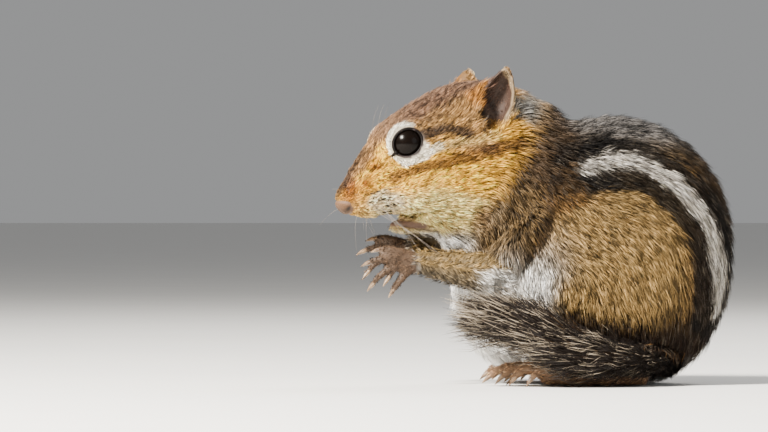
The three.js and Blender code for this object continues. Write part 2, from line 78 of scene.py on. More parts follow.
def nearerSide(local):  # places in the head, both its sides taken on the left
    folded = local.copy()
    folded[:, 2] = np.abs(folded[:, 2])
    return folded


def unit(v):
    return v / np.maximum(np.linalg.norm(v, axis=-1, keepdims=True), 1e-9)


def ramp(x, low, high):  # 0 below low, 1 above high, smooth between them
    t = np.clip((x - low) / (high - low), 0, 1)
    return t * t * (3 - 2 * t)


def wave(points, size, shift=0.0):  # soft noise from -1 to 1 with lumps about that many mm across
    p = points / size * 2.6
    a = np.sin(p[:, 0] * 1.7 + 1.3 * np.sin(p[:, 1] * 1.1 + shift) + shift)
    b = np.sin(p[:, 1] * 1.9 + 1.7 * np.sin(p[:, 2] * 0.9 - shift) + 2.1)
    c = np.sin(p[:, 2] * 1.6 + 1.5 * np.sin(p[:, 0] * 1.3 + 2 * shift) + 4.2)
    return (a + b + c) / 3


def linear(hexColour):  # sRGB hex to linear
    values = [int(hexColour[i:i + 2], 16) / 255 for i in (1, 3, 5)]
    return np.array([v / 12.92 if v <= 0.04045 else ((v + 0.055) / 1.055) ** 2.4 for v in values])


# camera first, level and from far off, as the long lens saw it

cameraData = bpy.data.cameras.new("camera")
camera = bpy.data.objects.new("camera", cameraData)
bpy.context.scene.collection.objects.link(camera)
cameraDistance = 1.3
nearSide = 0.012  # how far the animal's near side stands before its middle
frameWidth = photo["width"] * photo["mmPerPixel"] * mm
cameraData.sensor_width = 36
cameraData.lens = cameraData.sensor_width * (cameraDistance - nearSide) / frameWidth
cameraData.clip_start = 0.05
camera.location = ((photo["width"] / 2 - photo["zeroColumn"]) * photo["mmPerPixel"] * mm, -cameraDistance,
                   (photo["zeroRow"] - photo["height"] / 2) * photo["mmPerPixel"] * mm)
camera.rotation_euler = (math.pi / 2, 0, 0)
bpy.context.scene.camera = camera

# small helpers for meshes and materials


def addObject(name, mesh, material, body="root"):
    mesh.materials.append(material)
    obj = bpy.data.objects.new(name, mesh)
    bpy.context.scene.collection.objects.link(obj)
    if body:
        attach(obj, body)
    return obj


def toMesh(bm, name):
    mesh = bpy.data.meshes.new(name)
    bm.to_mesh(mesh)
    bm.free()
    return mesh


def setPoints(mesh, points):
    mesh.vertices.foreach_set("co", (points * mm).ravel())


def smoothShade(mesh):
    mesh.polygons.foreach_set("use_smooth", np.ones(len(mesh.polygons), dtype=bool))


# one mesh from tapered round tubes, each a list of points and radii in mm
def tubesMesh(name, tubes, sides=1, order=3, resolution=5):
    curve = bpy.data.curves.new(name + "Curve", "CURVE")
    curve.dimensions = "3D"
    curve.bevel_depth = 1 * mm
    curve.bevel_resolution = sides
    curve.use_fill_caps = True
    for points, radii, closed in tubes:
        spline = curve.splines.new("NURBS")
        spline.points.add(len(points) - 1)
        for k, (p, r) in enumerate(zip(points, radii)):
            spline.points[k].co = (p[0] * mm, p[1] * mm, p[2] * mm, 1)
            spline.points[k].radius = r
        spline.use_endpoint_u = not closed
        spline.use_cyclic_u = closed
        spline.order_u = min(order, len(points))
        spline.resolution_u = resolution
    holder = bpy.data.objects.new(name + "Holder", curve)
    bpy.context.scene.collection.objects.link(holder)
    mesh = bpy.data.meshes.new_from_object(holder.evaluated_get(bpy.context.evaluated_depsgraph_get()))
    mesh.name = name
    bpy.data.objects.remove(holder)
    bpy.data.curves.remove(curve)
    bm = bmesh.new()
    bm.from_mesh(mesh)
    bmesh.ops.remove_doubles(bm, verts=bm.verts, dist=1e-7)
    bmesh.ops.recalc_face_normals(bm, faces=bm.faces)
    bm.to_mesh(mesh)
    bm.free()
    mesh.materials.clear()
    smoothShade(mesh)
    return mesh


def addNode(tree, kind, settings=None, **links):
    node = tree.nodes.new(kind)
    for key, value in (settings or {}).items():
        setattr(node, key, value)
    for key, value in links.items():
        socket = node.inputs[int(key[1:])] if key[0] == "_" else node.inputs[key]
        if isinstance(value, bpy.types.NodeSocket):
            tree.links.new(value, socket)
        else:
            socket.default_value = value
    return node


def newMaterial(name):
    material = bpy.data.materials.new(name)
    material.use_nodes = True
    tree = material.node_tree
    tree.nodes.clear()
    shader = tree.nodes.new("ShaderNodeBsdfPrincipled")
    output = tree.nodes.new("ShaderNodeOutputMaterial")
    tree.links.new(shader.outputs[0], output.inputs[0])
    return material, tree, shader


def setShader(shader, **values):
    for key, value in values.items():
        shader.inputs[key.replace("_", " ")].default_value = value


# materials

def fineNoise(tree, scale, detail):
    place = addNode(tree, "ShaderNodeTexCoord").outputs["Object"]
    return addNode(tree, "ShaderNodeTexNoise", None, Vector=place, Scale=scale, Detail=detail)


# the coat's own colour, lighter and darker by fine noise
def noisyCoatColour(tree, shader, scale, detail, low, high):
    colour = addNode(tree, "ShaderNodeAttribute", {"attribute_name": "coatColour"})
    noise = fineNoise(tree, scale, detail)
    shade = addNode(tree, "ShaderNodeMapRange", None, Value=noise.outputs["Fac"])
    shade.inputs["To Min"].default_value = low
    shade.inputs["To Max"].default_value = high
    mixed = addNode(tree, "ShaderNodeVectorMath", {"operation": "SCALE"}, _0=colour.outputs["Color"],
                    Scale=shade.outputs[0])
    tree.links.new(mixed.outputs[0], shader.inputs["Base Color"])
    return noise


# two tones of one material, mixed by noise
def noisyTones(tree, shader, scale, detail, dark, light, ends=(0, 1)):
    noise = fineNoise(tree, scale, detail)
    tones = addNode(tree, "ShaderNodeValToRGB", None, Fac=noise.outputs["Fac"])
    for element, colour, end in zip(tones.color_ramp.elements, (dark, light), ends):
        element.position = end
        element.color = (*linear(colour), 1)
    tree.links.new(tones.outputs[0], shader.inputs["Base Color"])
    return noise


def addBump(tree, shader, noise, strength, distance):
    height = noise.outputs["Fac"]
    bump = addNode(tree, "ShaderNodeBump", None, Height=height, Strength=strength, Distance=distance)
    tree.links.new(bump.outputs[0], shader.inputs["Normal"])


# hair: keratin fibres, matte with a faint sheen where they lie together
def hairMaterial(name, roughness, variation):
    material, tree, shader = newMaterial(name)
    setShader(shader, Roughness=roughness, IOR=1.55, Specular_IOR_Level=0.14)
    noisyCoatColour(tree, shader, 1800.0, 2.0, 1 - variation, 1 + variation)
    return material


# skin under the coat: soft down and fine pores, about a third of a millimetre apart
def skinMaterial(name):
    material, tree, shader = newMaterial(name)
    setShader(shader, Roughness=0.62, IOR=1.45, Specular_IOR_Level=0.3)
    down = noisyCoatColour(tree, shader, 2600.0, 3.0, 0.68, 1.28)
    addBump(tree, shader, down, 0.5, 0.00018)
    return material


# the eye: a wet, clear cornea over a very dark iris
def eyeMaterial(name):
    material, tree, shader = newMaterial(name)
    setShader(shader, Roughness=0.2, IOR=1.376, Specular_IOR_Level=0.15)
    noisyTones(tree, shader, 900.0, 2.0, "#040303", "#0F0906")
    return material


# bare skin and horn: fine creases catch the light on lids, claws and whiskers
def bareMaterial(name, dark, light, roughness, scale, shine=0.5):
    material, tree, shader = newMaterial(name)
    setShader(shader, Roughness=roughness, IOR=1.42, Specular_IOR_Level=shine)
    creases = noisyTones(tree, shader, scale, 4.0, dark, light, (0.3, 0.7))
    addBump(tree, shader, creases, 0.6, 0.0002)
    return material


coatMaterial = hairMaterial("bodyHair", roughness=0.62, variation=0.16)
tailMaterial = hairMaterial("tailHair", roughness=0.5, variation=0.12)
underMaterial = skinMaterial("downySkin")
corneaMaterial = eyeMaterial("wetDarkEye")
lidMaterial = bareMaterial("moistLidSkin", "#080605", "#120D0C", roughness=0.5, scale=1500.0, shine=0.15)
clawMaterial = bareMaterial("paleHornClaw", "#4E3A2C", "#9A8064", roughness=0.34, scale=700.0)
bristleMaterial = bareMaterial("darkBristle", "#0A0706", "#1C130E", roughness=0.6, scale=900.0, shine=0.15)
whiskerMaterial = bareMaterial("stiffWhisker", "#2A211C", "#8E8378", roughness=0.4, scale=300.0)
print("materials made")

# markings, as places in the photo's side view; the far side mirrors them

# the rusty and rump browns are the fur's own dark brown darkened further as painted shade, for the low flank
# and rump
palette = {
    "flank": "#94784A", "flankDeep": "#6A4E2B", "shoulder": "#634F33", "neck": "#403224", "grey": "#635F5D",
    "black": "#0B0807", "cream": "#C4BDB4", "darkGold": "#70522C", "creaseShadow": "#392B1F", "rustyInShade": "#241707",
    "rump": "#1D120B", "white": "#F6F1EA", "gold": "#F8B83E", "goldDeep": "#985A14", "paleGold": "#FFDE8C",
    "crown": "#7C5E4A", "tan": "#AA8250", "eyeStripe": "#3E3026", "cheekStripe": "#523122", "nose": "#573D28",
    "redBrownRecessShade": "#2E1A18", "lip": "#825C5F", "pad": "#FFE4B4", "earInside": "#5C4438", "earHollowShade": "#241710",
    "earFront": "#AE7433", "earRim": "#C1A580", "earBack": "#ADA8A0", "arm": "#91774B", "armUnder": "#6A5C46",
    "hand": "#544132", "foot": "#C49A76", "tailBuff": "#5C4328", "tailDark": "#130C08", "tailTip": "#BCAC96",
    "ring": "#F6EAD4",
}
paint = {name: linear(value) for name, value in palette.items()}

# path, half width in pixels, colour, how strong
stripesPath = [(592, 165), (625, 167), (650, 173), (665, 182), (680, 193), (694, 209), (704, 230), (709, 252),
               (711, 276), (711, 304)]
bodyBands = [
    ([(682, 140), (704, 160), (720, 188), (731, 222), (735, 258), (733, 300), (722, 330)], 19, "black", 0.85),
    (stripesPath, 25, "black", 0.95),
    ([(552, 154), (575, 147), (600, 145)], 9, "black", 0.85),
    ([(548, 182), (572, 180), (600, 183)], 11, "black", 0.8),
    # the low rump along the floor: dark brown fur with painted shade
    ([(572, 320), (610, 332), (650, 340), (692, 342)], 20, "rump", 0.85),
    # painted shadow down the crease between the arm and the body
    ([(548, 196), (540, 228), (526, 252), (508, 268)], 5.5, "creaseShadow", 0.65),
]
creamPath = [(580, 167), (600, 160), (625, 160), (648, 169), (664, 178), (680, 190), (695, 207), (707, 228),
             (714, 250), (718, 276), (720, 298)]
# painted shade down the ear canal
canalPath = [(482, 110), (483, 118), (485, 126)]
canalBand = (canalPath, 4.6, "earHollowShade", 0.95)
faceBands = [
    ([(345, 170), (362, 146), (385, 118), (420, 94), (455, 76), (500, 68)], 16, "crown", 0.85),
    ([(404, 163), (420, 158), (434, 149)], 4.2, "ring", 0.95),
    ([(434, 150), (452, 146), (475, 142), (495, 137)], 4.2, "paleGold", 0.34),
    ([(387, 162), (380, 167), (373, 171)], 1.8, "eyeStripe", 0.4),
    ([(390, 180), (404, 174), (430, 167), (462, 160), (490, 153), (512, 143)], 5.8, "cheekStripe", 0.78),
    ([(500, 68), (484, 82), (475, 98)], 8, "earFront", 0.8),
    ([(332, 198), (339, 186), (348, 171), (359, 154)], 5.5, "eyeStripe", 0.75),
    canalBand,
]
# the pale ring: its reach from the eye's middle in mm, and how deep behind the lids it fades
eyeRing = {"ahead": 4.65, "above": 4.9, "below": 4.65, "deepest": (0.0, 1.3)}
# the slightly open mouth: its own dark red-brown with painted shadow in the slit
slitPath = [(374, 217), (385, 216), (398, 215.5), (412, 217)]
lipPath = [(386, 222.5), (400, 223.5), (414, 225), (424, 226)]
fineBands = [
    ([(420, 136), (430, 133), (444, 132), (456, 134), (466, 137)], 5.2, "eyeStripe", 0.92),
    ([(335, 196), (340, 190), (346, 184)], 3.4, "eyeStripe", 0.55),
    (slitPath, 3.0, "redBrownRecessShade", 0.95),
    (lipPath, 3.6, "lip", 0.85),
]
earBands = [
    ([(489, 70), (481, 80), (476, 93), (474, 108)], 5.5, "earFront", 0.9),
    ([(503, 68), (511, 79), (514.5, 92), (513, 106), (507, 118)], 2.4, "earRim", 0.85),
    # painted shadow along the ear's inner fold
    ([(488, 92), (492, 104), (497, 113)], 2.4, "earHollowShade", 0.6),
    canalBand,
]
# centre, radii, colour: soft zones that fade into each other
faceZones = [
    ((390, 175), (60, 30), "gold"), ((470, 180), (50, 26), "gold"), ((360, 180), (22, 26), "gold"),
    ((440, 206), (60, 22), "paleGold"), ((388, 202), (24, 13), "pad"), ((438, 241), (32, 10), "white"),
    ((480, 214), (24, 16), "tan"), ((494, 240), (20, 24), "shoulder"),
    ((430, 108), (45, 15), "tan"), ((475, 120), (22, 20), "tan"), ((474, 96), (14, 22), "earFront"),
    ((505, 160), (18, 45), "gold"), ((500, 215), (30, 40), "shoulder"), ((470, 148), (36, 8), "tan"),
    ((520, 108), (9, 13), "earBack"), ((400, 130), (40, 16), "tan"),
    ((362, 184), (16, 18), "goldDeep"), ((350, 188), (14, 22), "goldDeep"),
    ((374, 170), (18, 10), "goldDeep"),
]
# the rusty and rump zones low on the flank and rump are partly the fur's own brown and partly painted shade
bodyZones = [
    ((620, 270), (75, 60), "flank"), ((560, 192), (30, 24), "darkGold"), ((600, 215), (50, 20), "flank"),
    ((540, 150), (36, 50), "neck"), ((525, 215), (26, 50), "shoulder"), ((620, 125), (80, 14), "grey"),
    ((530, 100), (30, 16), "neck"), ((675, 330), (45, 40), "rustyInShade"), ((690, 375), (60, 22), "rump"),
    ((640, 375), (40, 22), "rump"), ((524, 280), (40, 30), "white"), ((450, 300), (40, 34), "white"),
    ((436, 238), (26, 12), "white"), ((492, 236), (24, 22), "shoulder"),
    ((710, 260), (30, 80), "flankDeep"), ((575, 290), (34, 30), "flank"),
    ((632, 336), (80, 26), "rustyInShade"), ((572, 322), (40, 12), "rustyInShade"),
]


def toPhoto(points):  # column and row in the photo
    return np.stack([points[:, 0] / photo["mmPerPixel"] + photo["zeroColumn"],
                     photo["zeroRow"] - points[:, 2] / photo["mmPerPixel"]], axis=1)


def headSideView(points):  # the same, with both sides of the head taken on its near side
    return toPhoto(nearerSide(inHead(points)) @ headBasis + headOrigin)


def pathDistance(places, path):
    best = np.full(len(places), 1e9)
    for (ax, ay), (bx, by) in zip(path[:-1], path[1:]):
        a = np.array([ax, ay], float)
        d = np.array([bx - ax, by - ay], float)
        t = np.clip(((places - a) @ d) / (d @ d), 0, 1)
        best = np.minimum(best, np.linalg.norm(places - a - t[:, None] * d, axis=1))
    return best


def zoneColour(places, zones):
    total = np.zeros((len(places), 3))
    weight = np.full(len(places), 1e-9)
    for centre, radii, name in zones:
        d = (places - np.array(centre, float)) / np.array(radii, float)
        w = 1 / (1e-3 + (d * d).sum(axis=1)) ** 2.2
        total += w[:, None] * paint[name]
        weight += w
    return total / weight[:, None]


def blend(first, second, share):
    return first * (1 - share[:, None]) + second * share[:, None]


def mixIn(colour, name, share):
    return blend(colour, paint[name], share)


def paintBands(colour, places, bands, ragged=0):
    for path, half, name, strength in bands:
        away = pathDistance(places, path) + ragged * min(half, 9) * 0.42
        soft = min(half * 0.35, 4)
        colour = mixIn(colour, name, (1 - ramp(away, half - soft, half + soft)) * strength)
    return colour


# the parts that the coat has to know: arms, hands, feet and tail

handMiddleY = midY - 10.4
elbow = (-9, 18.4, 26.2)
wristPoint = (-27.6, 4.6, 29)
sides = {"left": {"side": 1, "lift": 0.0, "reach": 0.0}, "right": {"side": -1, "lift": 2.6, "reach": 1.2}}
fingers = [
    [(-29.6, 5.4, 30.9), (-33, 7.2, 31.9), (-35.5, 7.7, 32.2), (-37.0, 7.2, 32.0)],
    [(-30.8, 6.0, 29.9), (-34.8, 8.2, 30.0), (-37.6, 8.6, 29.6), (-39.3, 8.1, 29.0)],
    [(-30.8, 6.0, 28.5), (-34.4, 7.8, 27.4), (-36.9, 8.1, 25.8), (-38.4, 7.6, 23.9)],
    [(-29.4, 5.4, 27.3), (-31.4, 6.6, 25.5), (-32.7, 6.8, 23.8), (-33.6, 6.3, 22.4)],
]
toes = [
    [(2, 14.6, 3.0), (-1.6, 13.4, 3.7), (-3.8, 12.8, 3.0), (-5.2, 12.4, 1.8)],
    [(0, 16.4, 3.4), (-4.6, 15.6, 4.6), (-8.4, 15.0, 3.9), (-10.8, 14.7, 2.2)],
    [(0.5, 18.8, 3.4), (-3.0, 18.6, 4.8), (-6.0, 18.7, 4.0), (-8.0, 18.8, 2.2)],
    [(1.2, 20.9, 3.4), (-1.0, 21.6, 4.8), (-3.2, 22.0, 4.0), (-4.9, 22.3, 2.2)],
    [(3.6, 22.4, 3.0), (1.8, 23.6, 4.4), (0.2, 24.4, 3.7), (-1.2, 24.9, 2.0)],
]
solePath = [(26, 16.6, 3.4), (18, 17.2, 3.9), (9, 18.2, 4.2), (1.5, 19.0, 3.4), (-5, 18.4, 3.0)]
tailPath = [(28.5, 1, 6.2), (30.8, 9.5, 5.8), (28.2, 19, 5.8), (20.5, 26.4, 6.6), (11, 29.4, 8.8),
            (2, 29.8, 13), (-7, 28.2, 15.4), (-16, 26, 16.4)]
tailEnd = 0.86
earPlace = (43, 6.6, 12.4)
earRadii = (7.9, 4.4, 4.2)
earLean = math.radians(49)
earTip = np.array([math.cos(earLean), math.sin(earLean), 0.12])
eyePlace = (19.9, 6.1, 7.2)
eyeRadius = 4.1
lid = {"length": 7.2, "height": 6.5, "tilt": 11, "rim": 0.36}


def eyeFrame():  # along the opening, across it and out of the head, in the head's own axes
    tilt = math.radians(lid["tilt"])
    out = unit(np.array([-0.22, 0.16, 1.0]))
    along = np.array([math.cos(tilt), math.sin(tilt), 0])
    along = unit(along - out * (along @ out))
    return np.array([along, np.cross(out, along), out])


eyeAxes = eyeFrame()


def fromEye(local):  # mm from the nearer eye's middle: along the opening, across it, outwards
    return (nearerSide(local) - np.array(eyePlace)) @ eyeAxes.T


def eyeDistance(local):
    return np.linalg.norm(fromEye(local), axis=1)


def lidReach(local, margin=0.0):  # below 1 between the lids, or within a margin of them
    seen = fromEye(local)
    wide = lid["length"] / 2 + lid["rim"] + margin
    tall = lid["height"] / 2 + lid["rim"] + margin
    reach = np.hypot(seen[:, 0] / wide, seen[:, 1] / tall)
    return np.where(seen[:, 2] > 0, reach, 9.0)


def onHand(which, p):
    return np.array([p[0] - which["reach"], handMiddleY - which["side"] * p[1], p[2] + which["lift"]])


def armLine(which):  # elbow and wrist
    start = np.array([elbow[0], midY - which["side"] * elbow[1], elbow[2]])
    return start, onHand(which, wristPoint)


def onFoot(side, p):
    return np.array([p[0], midY - side * p[1], p[2]])


def smoothPath(points, steps):  # a smooth line through the points
    p = np.array(points, float)
    p = np.vstack([2 * p[0] - p[1], p, 2 * p[-1] - p[-2]])
    out = []
    for k in range(1, len(p) - 2):
        for t in np.linspace(0, 1, steps, endpoint=False):
            a, b, c, d = p[k - 1:k + 3]
            bend = (2 * a - 5 * b + 4 * c - d) * t ** 2 + (3 * b - a - 3 * c + d) * t ** 3
            out.append(0.5 * (2 * b + (c - a) * t + bend))
    out.append(p[-2])
    return np.array(out)


tailLine = smoothPath([(x, midY - y, z) for x, y, z in tailPath], 12)
tailLine = tailLine[:int(len(tailLine) * tailEnd)]
tailAlong = unit(np.gradient(tailLine, axis=0))
tailShare = np.linspace(0, 1, len(tailLine))


def nearestOn(points, line):
    best = np.full(len(points), 1e9)
    index = np.zeros(len(points), int)
    for k, p in enumerate(line):
        d = np.linalg.norm(points - p, axis=1)
        closer = d < best
        best[closer] = d[closer]
        index[closer] = k
    return best, index


# how much each point belongs to each region
def regionsOf(points):
    local = inHead(points)
    cut = (points - np.array([-1, midY, 69])) @ unit(np.array([0.863, 0.16, -0.504]))
    head = 1 - ramp(cut, -3, 4)
    forearm = np.zeros(len(points))
    hand = np.zeros(len(points))
    foot = np.zeros(len(points))
    for which in sides.values():
        away, _ = nearestOn(points, np.linspace(*armLine(which), 8))
        forearm = np.maximum(forearm, 1 - ramp(away, 5.0, 6.6))
        palm = onHand(which, (-35, 6.4, 28.0))
        reached = np.linalg.norm((points - palm) / np.array([8.0, 5.5, 9.0]), axis=1)
        hand = np.maximum(hand, 1 - ramp(reached, 0.9, 1.1))
        soleLine = smoothPath([onFoot(which["side"], p) for p in solePath], 5)
        away, _ = nearestOn(points, soleLine)
        foot = np.maximum(foot, (1 - ramp(away, 5.6, 6.6)) * (1 - ramp(points[:, 2], 8.0, 9.4)))
        for toe in toes:
            away, _ = nearestOn(points, smoothPath([onFoot(which["side"], p) for p in toe], 3))
            foot = np.maximum(foot, 1 - ramp(away, 2.8, 3.8))
    toTail, tailIndex = nearestOn(points, tailLine)
    tail = 1 - ramp(toTail, 3.6, 4.2)
    hand = hand * (1 - ramp(points[:, 0], -28.4, -26.4))
    head = head * (1 - hand) * (1 - forearm * (points[:, 2] < 34))
    forearm = forearm * (1 - hand)
    return {"local": local, "head": head, "forearm": forearm, "hand": hand, "foot": foot * (1 - tail),
            "tail": tail, "tailIndex": tailIndex}


def earReach(local):  # place in the nearer ear's own frame in mm, and its reach, 1 at the ear's edge
    tip = unit(earTip)
    out = unit(np.array([-0.42, 0.0, 1.0]))
    across = unit(np.cross(out, tip))
    out = np.cross(tip, across)
    d = nearerSide(local) - np.array(earPlace)
    place = np.stack([d @ tip, d @ across, d @ out], axis=1)
    return place, np.linalg.norm(place / np.array(earRadii), axis=1)


def frontEdge(ear):  # where the ear's front edge carries longer hair
    return ramp(ear[:, 1], 0.8, 2.6) * (1 - ramp(ear[:, 0], 1.0, 5.0))


def bodyMarkings(points, normals, ragged, place):
    colour = paintBands(zoneColour(place, bodyZones), place, bodyBands, ragged)
    out = np.abs(points[:, 1] - midY)
    onCream = 1 - ramp(pathDistance(place, creamPath) + ragged * 2.6, 5.4, 9.6)
    colour = mixIn(colour, "cream", onCream * ramp(out, 5, 8) * 0.95)
    dorsal = (1 - ramp(out + ragged * 0.5, 0.9, 2.3)) * ramp(normals[:, 2] + normals[:, 0], 0.35, 0.6)
    dorsal *= ramp(points[:, 0], -12, -2) * ramp(points[:, 2], 16, 24)
    colour = mixIn(colour, "black", dorsal * 0.85)
    ventral = ramp(-0.85 * normals[:, 0] - 0.45 * normals[:, 2] - 0.35 * np.abs(normals[:, 1]), 0.25, 0.62)
    ventral *= (1 - ramp(points[:, 0], 4, 16)) * (1 - ramp(out, 8, 12) * ramp(points[:, 2], 26, 32))
    colour = mixIn(colour, "white", ventral * 0.92)
    under = ramp(-normals[:, 2], 0.55, 0.9) * (1 - ramp(points[:, 2], 8, 16))
    return mixIn(colour, "white", under * 0.6)


def ringShare(local, ragged):  # how much of the eye's pale ring
    seen = fromEye(local)
    tall = np.where(seen[:, 1] > 0, eyeRing["above"], eyeRing["below"])
    around = np.hypot(seen[:, 0] / eyeRing["ahead"], seen[:, 1] / tall)
    behindEye = ramp(seen[:, 0] - 0.25 * np.abs(seen[:, 1]), 2.4, 3.2)
    share = (1 - ramp(around + 0.04 * ragged, 0.94, 1.06)) * ramp(seen[:, 2], *eyeRing["deepest"])
    return share * (1 - behindEye) * (1 - 0.7 * (local[:, 2] < 0) * (seen[:, 1] > 0.5))


def faceMarkings(local, normals, ragged, place):
    colour = paintBands(zoneColour(place, faceZones), place, faceBands, ragged * 0.5)
    upwards = normals @ headBasis[1]
    onTop = ramp(upwards, 0.5, 0.85) * (1 - ramp(np.abs(local[:, 2]), 7.5, 10.5)) * ramp(local[:, 0], 18, 26)
    colour = mixIn(colour, "crown", onTop * 0.9)
    throat = ramp(-upwards, 0.6, 0.92) * ramp(local[:, 0], 12, 18)
    colour = mixIn(colour, "white", throat * 0.9)
    colour = mixIn(colour, "ring", ringShare(local, ragged))
    inRow = np.cos((place[:, 0] * 0.3 + place[:, 1]) * 2 * math.pi / 6.2)
    inColumn = np.cos((place[:, 0] - place[:, 1] * 0.25) * 2 * math.pi / 5.4)
    onPad = 1 - ramp(np.linalg.norm((place - np.array([382, 202])) / np.array([17, 11.0]), axis=1), 0.8, 1.1)
    colour = mixIn(colour, "pad", onPad * 0.75)
    colour = mixIn(colour, "eyeStripe", ramp(inRow + inColumn, 1.1, 1.7) * onPad * 0.8)
    colour = paintBands(colour, place, fineBands)
    # the lid rims and the skin between them dark: the lids' own dark skin with painted shade in the opening
    return mixIn(colour, "redBrownRecessShade", 1 - ramp(lidReach(local), 0.96, 1.02))


def earMarkings(colour, local, ragged, place):
    ear, reached = earReach(local)
    onEar = (1 - ramp(reached, 1.02, 1.2)) * ramp(ear[:, 0], -7.5, -5.5)
    cup = onEar * (1 - ramp(reached, 0.86, 0.95))
    earColour = mixIn(mixIn(colour, "tan", onEar * 0.75), "earInside", cup)
    return blend(colour, paintBands(earColour, place, earBands, ragged * 0.3), onEar)


def markings(points, normals, regions):
    ragged = wave(points, 2.2) + 0.6 * wave(points, 0.9, 1.7)
    place = toPhoto(points)
    facePlace = headSideView(points)
    face = faceMarkings(regions["local"], normals, ragged, facePlace)
    face = earMarkings(face, regions["local"], ragged, facePlace)
    colour = blend(bodyMarkings(points, normals, ragged, place), face, regions["head"])
    arm = blend(paint["arm"], paint["armUnder"], ramp(-normals[:, 2], -0.15, 0.5))
    paleElbow = ramp(place[:, 0], 474, 494) * ramp(place[:, 1], 266, 278)
    colour = blend(colour, mixIn(arm, "white", paleElbow * 0.9), regions["forearm"])
    colour = mixIn(colour, "hand", regions["hand"])
    colour = mixIn(colour, "foot", regions["foot"])
    return mixIn(colour, "tailBuff", regions["tail"])


# one skin over all the flesh, the coat's depth inside the solids

fleshNodes = [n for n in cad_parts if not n.startswith("eye") and not n.startswith("tail")]
tailNodes = [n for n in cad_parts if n.startswith("tail")]
# depths in mm under the solids; the skin is darker than the coat's tips, less so on the thinly haired hands
skinSizes = {"voxel": 0.54, "tailCore": 2.5, "smoothing": 3, "bodyDepth": 1.7, "armDepth": 0.7,
             "handDepth": 0.2, "shade": 0.34, "bareShade": 0.4}


def mergedCopies(nodes):
    bm = bmesh.new()
    for name in nodes:
        bm.from_mesh(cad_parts[name].data)
    bmesh.ops.remove_doubles(bm, verts=bm.verts, dist=1e-7)
    return bm


def byRegion(value, regions, others):
    for name, other in others.items():
        value = value * (1 - regions[name]) + other * regions[name]
    return value


def coatDepth(regions):
    local = regions["local"]
    depths = {"head": 0.25 + 1.0 * ramp(local[:, 0], 8, 34), "forearm": skinSizes["armDepth"],
              "hand": skinSizes["handDepth"]}
    depth = byRegion(skinSizes["bodyDepth"], regions, depths)
    depth *= (1 - 0.85 * regions["foot"]) * (1 - regions["tail"])
    ear, reached = earReach(local)
    onEar = (1 - ramp(reached, 1.1, 1.3)) * ramp(ear[:, 0], -6, -3)
    return depth * (1 - onEar) * ramp(eyeDistance(local), 4.6, 7.5)


def makeSkin():
    bm = mergedCopies(fleshNodes)
    radii = [skinSizes["tailCore"] * (1 - 0.5 * t * t) for t in tailShare[::3]]
    core = tubesMesh("tailCore", [(tailLine[::3], radii, False)], sides=3)
    bm.from_mesh(core)
    obj = bpy.data.objects.new("skinDraft", toMesh(bm, "skin"))
    bpy.context.scene.collection.objects.link(obj)
    remesh = obj.modifiers.new("remesh", "REMESH")
    remesh.mode = "VOXEL"
    remesh.voxel_size = skinSizes["voxel"] * mm
    evaluated = obj.evaluated_get(bpy.context.evaluated_depsgraph_get())
    fine = bpy.data.meshes.new_from_object(evaluated)
    bpy.data.objects.remove(obj)
    bm = bmesh.new()
    bm.from_mesh(fine)
    for _ in range(skinSizes["smoothing"]):
        bmesh.ops.smooth_vert(bm, verts=bm.verts, factor=0.5, use_axis_x=True, use_axis_y=True,
                              use_axis_z=True)
    bmesh.ops.triangulate(bm, faces=bm.faces)
    bm.to_mesh(fine)
    bm.free()
    return fine


def meshArrays(mesh):
    points = np.zeros(len(mesh.vertices) * 3)
    mesh.vertices.foreach_get("co", points)
    normals = np.zeros(len(mesh.vertices) * 3)
    mesh.vertex_normals.foreach_get("vector", normals)
    return points.reshape(-1, 3) / mm, normals.reshape(-1, 3)


def setColours(mesh, colours):
    layer = mesh.color_attributes.new("coatColour", "FLOAT_COLOR", "POINT")
    values = np.ones((len(mesh.vertices), 4), dtype=np.float32)
    values[:, :3] = colours
    layer.data.foreach_set("color", values.ravel())


skinMesh = makeSkin()
points, normals = meshArrays(skinMesh)
regions = regionsOf(points)
points = points - normals * coatDepth(regions)[:, None]
points[:, 2] = np.maximum(points[:, 2], 0.15)
setPoints(skinMesh, points)
skinMesh.update()
points, normals = meshArrays(skinMesh)
regions = regionsOf(points)
skinShade = skinSizes["shade"] + skinSizes["bareShade"] * regions["hand"]
setColours(skinMesh, markings(points, normals, regions) * skinShade[:, None])
smoothShade(skinMesh)
skin = addObject("skin", skinMesh, underMaterial)
bpy.context.view_layer.objects.active = skin
skin.select_set(True)
bpy.ops.object.mode_set(mode="EDIT")
bpy.ops.mesh.select_all(action="SELECT")
bpy.ops.uv.smart_project(angle_limit=math.radians(66), island_margin=0.002)
bpy.ops.object.mode_set(mode="OBJECT")
skin.data.uv_layers[0].name = "OFBake"
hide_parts(*fleshNodes, *tailNodes)
print("skin made", len(skinMesh.polygons))

# which way the hair lies: place in mm (x, out from the middle, z), direction (x, out, z)
bodyLie = [
    ((-2, 6, 66), (0.8, 0.1, -0.5)), ((15, 4, 62), (1, 0.05, 0)), ((30, 6, 60), (0.9, 0.1, -0.5)),
    ((42, 6, 48), (0.5, 0.1, -1)), ((47, 6, 30), (0.05, 0.1, -1)), ((42, 8, 10), (-0.1, 0.1, -1)),
    ((5, 18, 52), (0.8, 0.2, -0.5)), ((20, 20, 50), (0.95, 0.1, -0.35)), ((32, 18, 45), (0.7, 0.1, -0.75)),
    ((38, 20, 28), (0.2, 0.1, -1)), ((30, 26, 14), (0.0, 0.1, -1)), ((0, 20, 42), (0.6, 0.2, -0.8)),
    ((12, 25, 34), (0.72, 0.1, -0.7)), ((22, 27, 26), (0.42, 0.1, -0.9)), ((6, 26, 20), (0.2, 0.1, -1)),
    ((-6, 20, 32), (0.25, 0.2, -1)), ((-12, 10, 40), (0.35, 0.3, -0.9)), ((-22, 4, 32), (0.2, 0.3, -1)),
    ((-18, 6, 18), (0.5, 0.2, -0.9)), ((0, 8, 4), (1, 0.2, -0.1)), ((14, 26, 8), (0.1, 0.1, -1)),
]
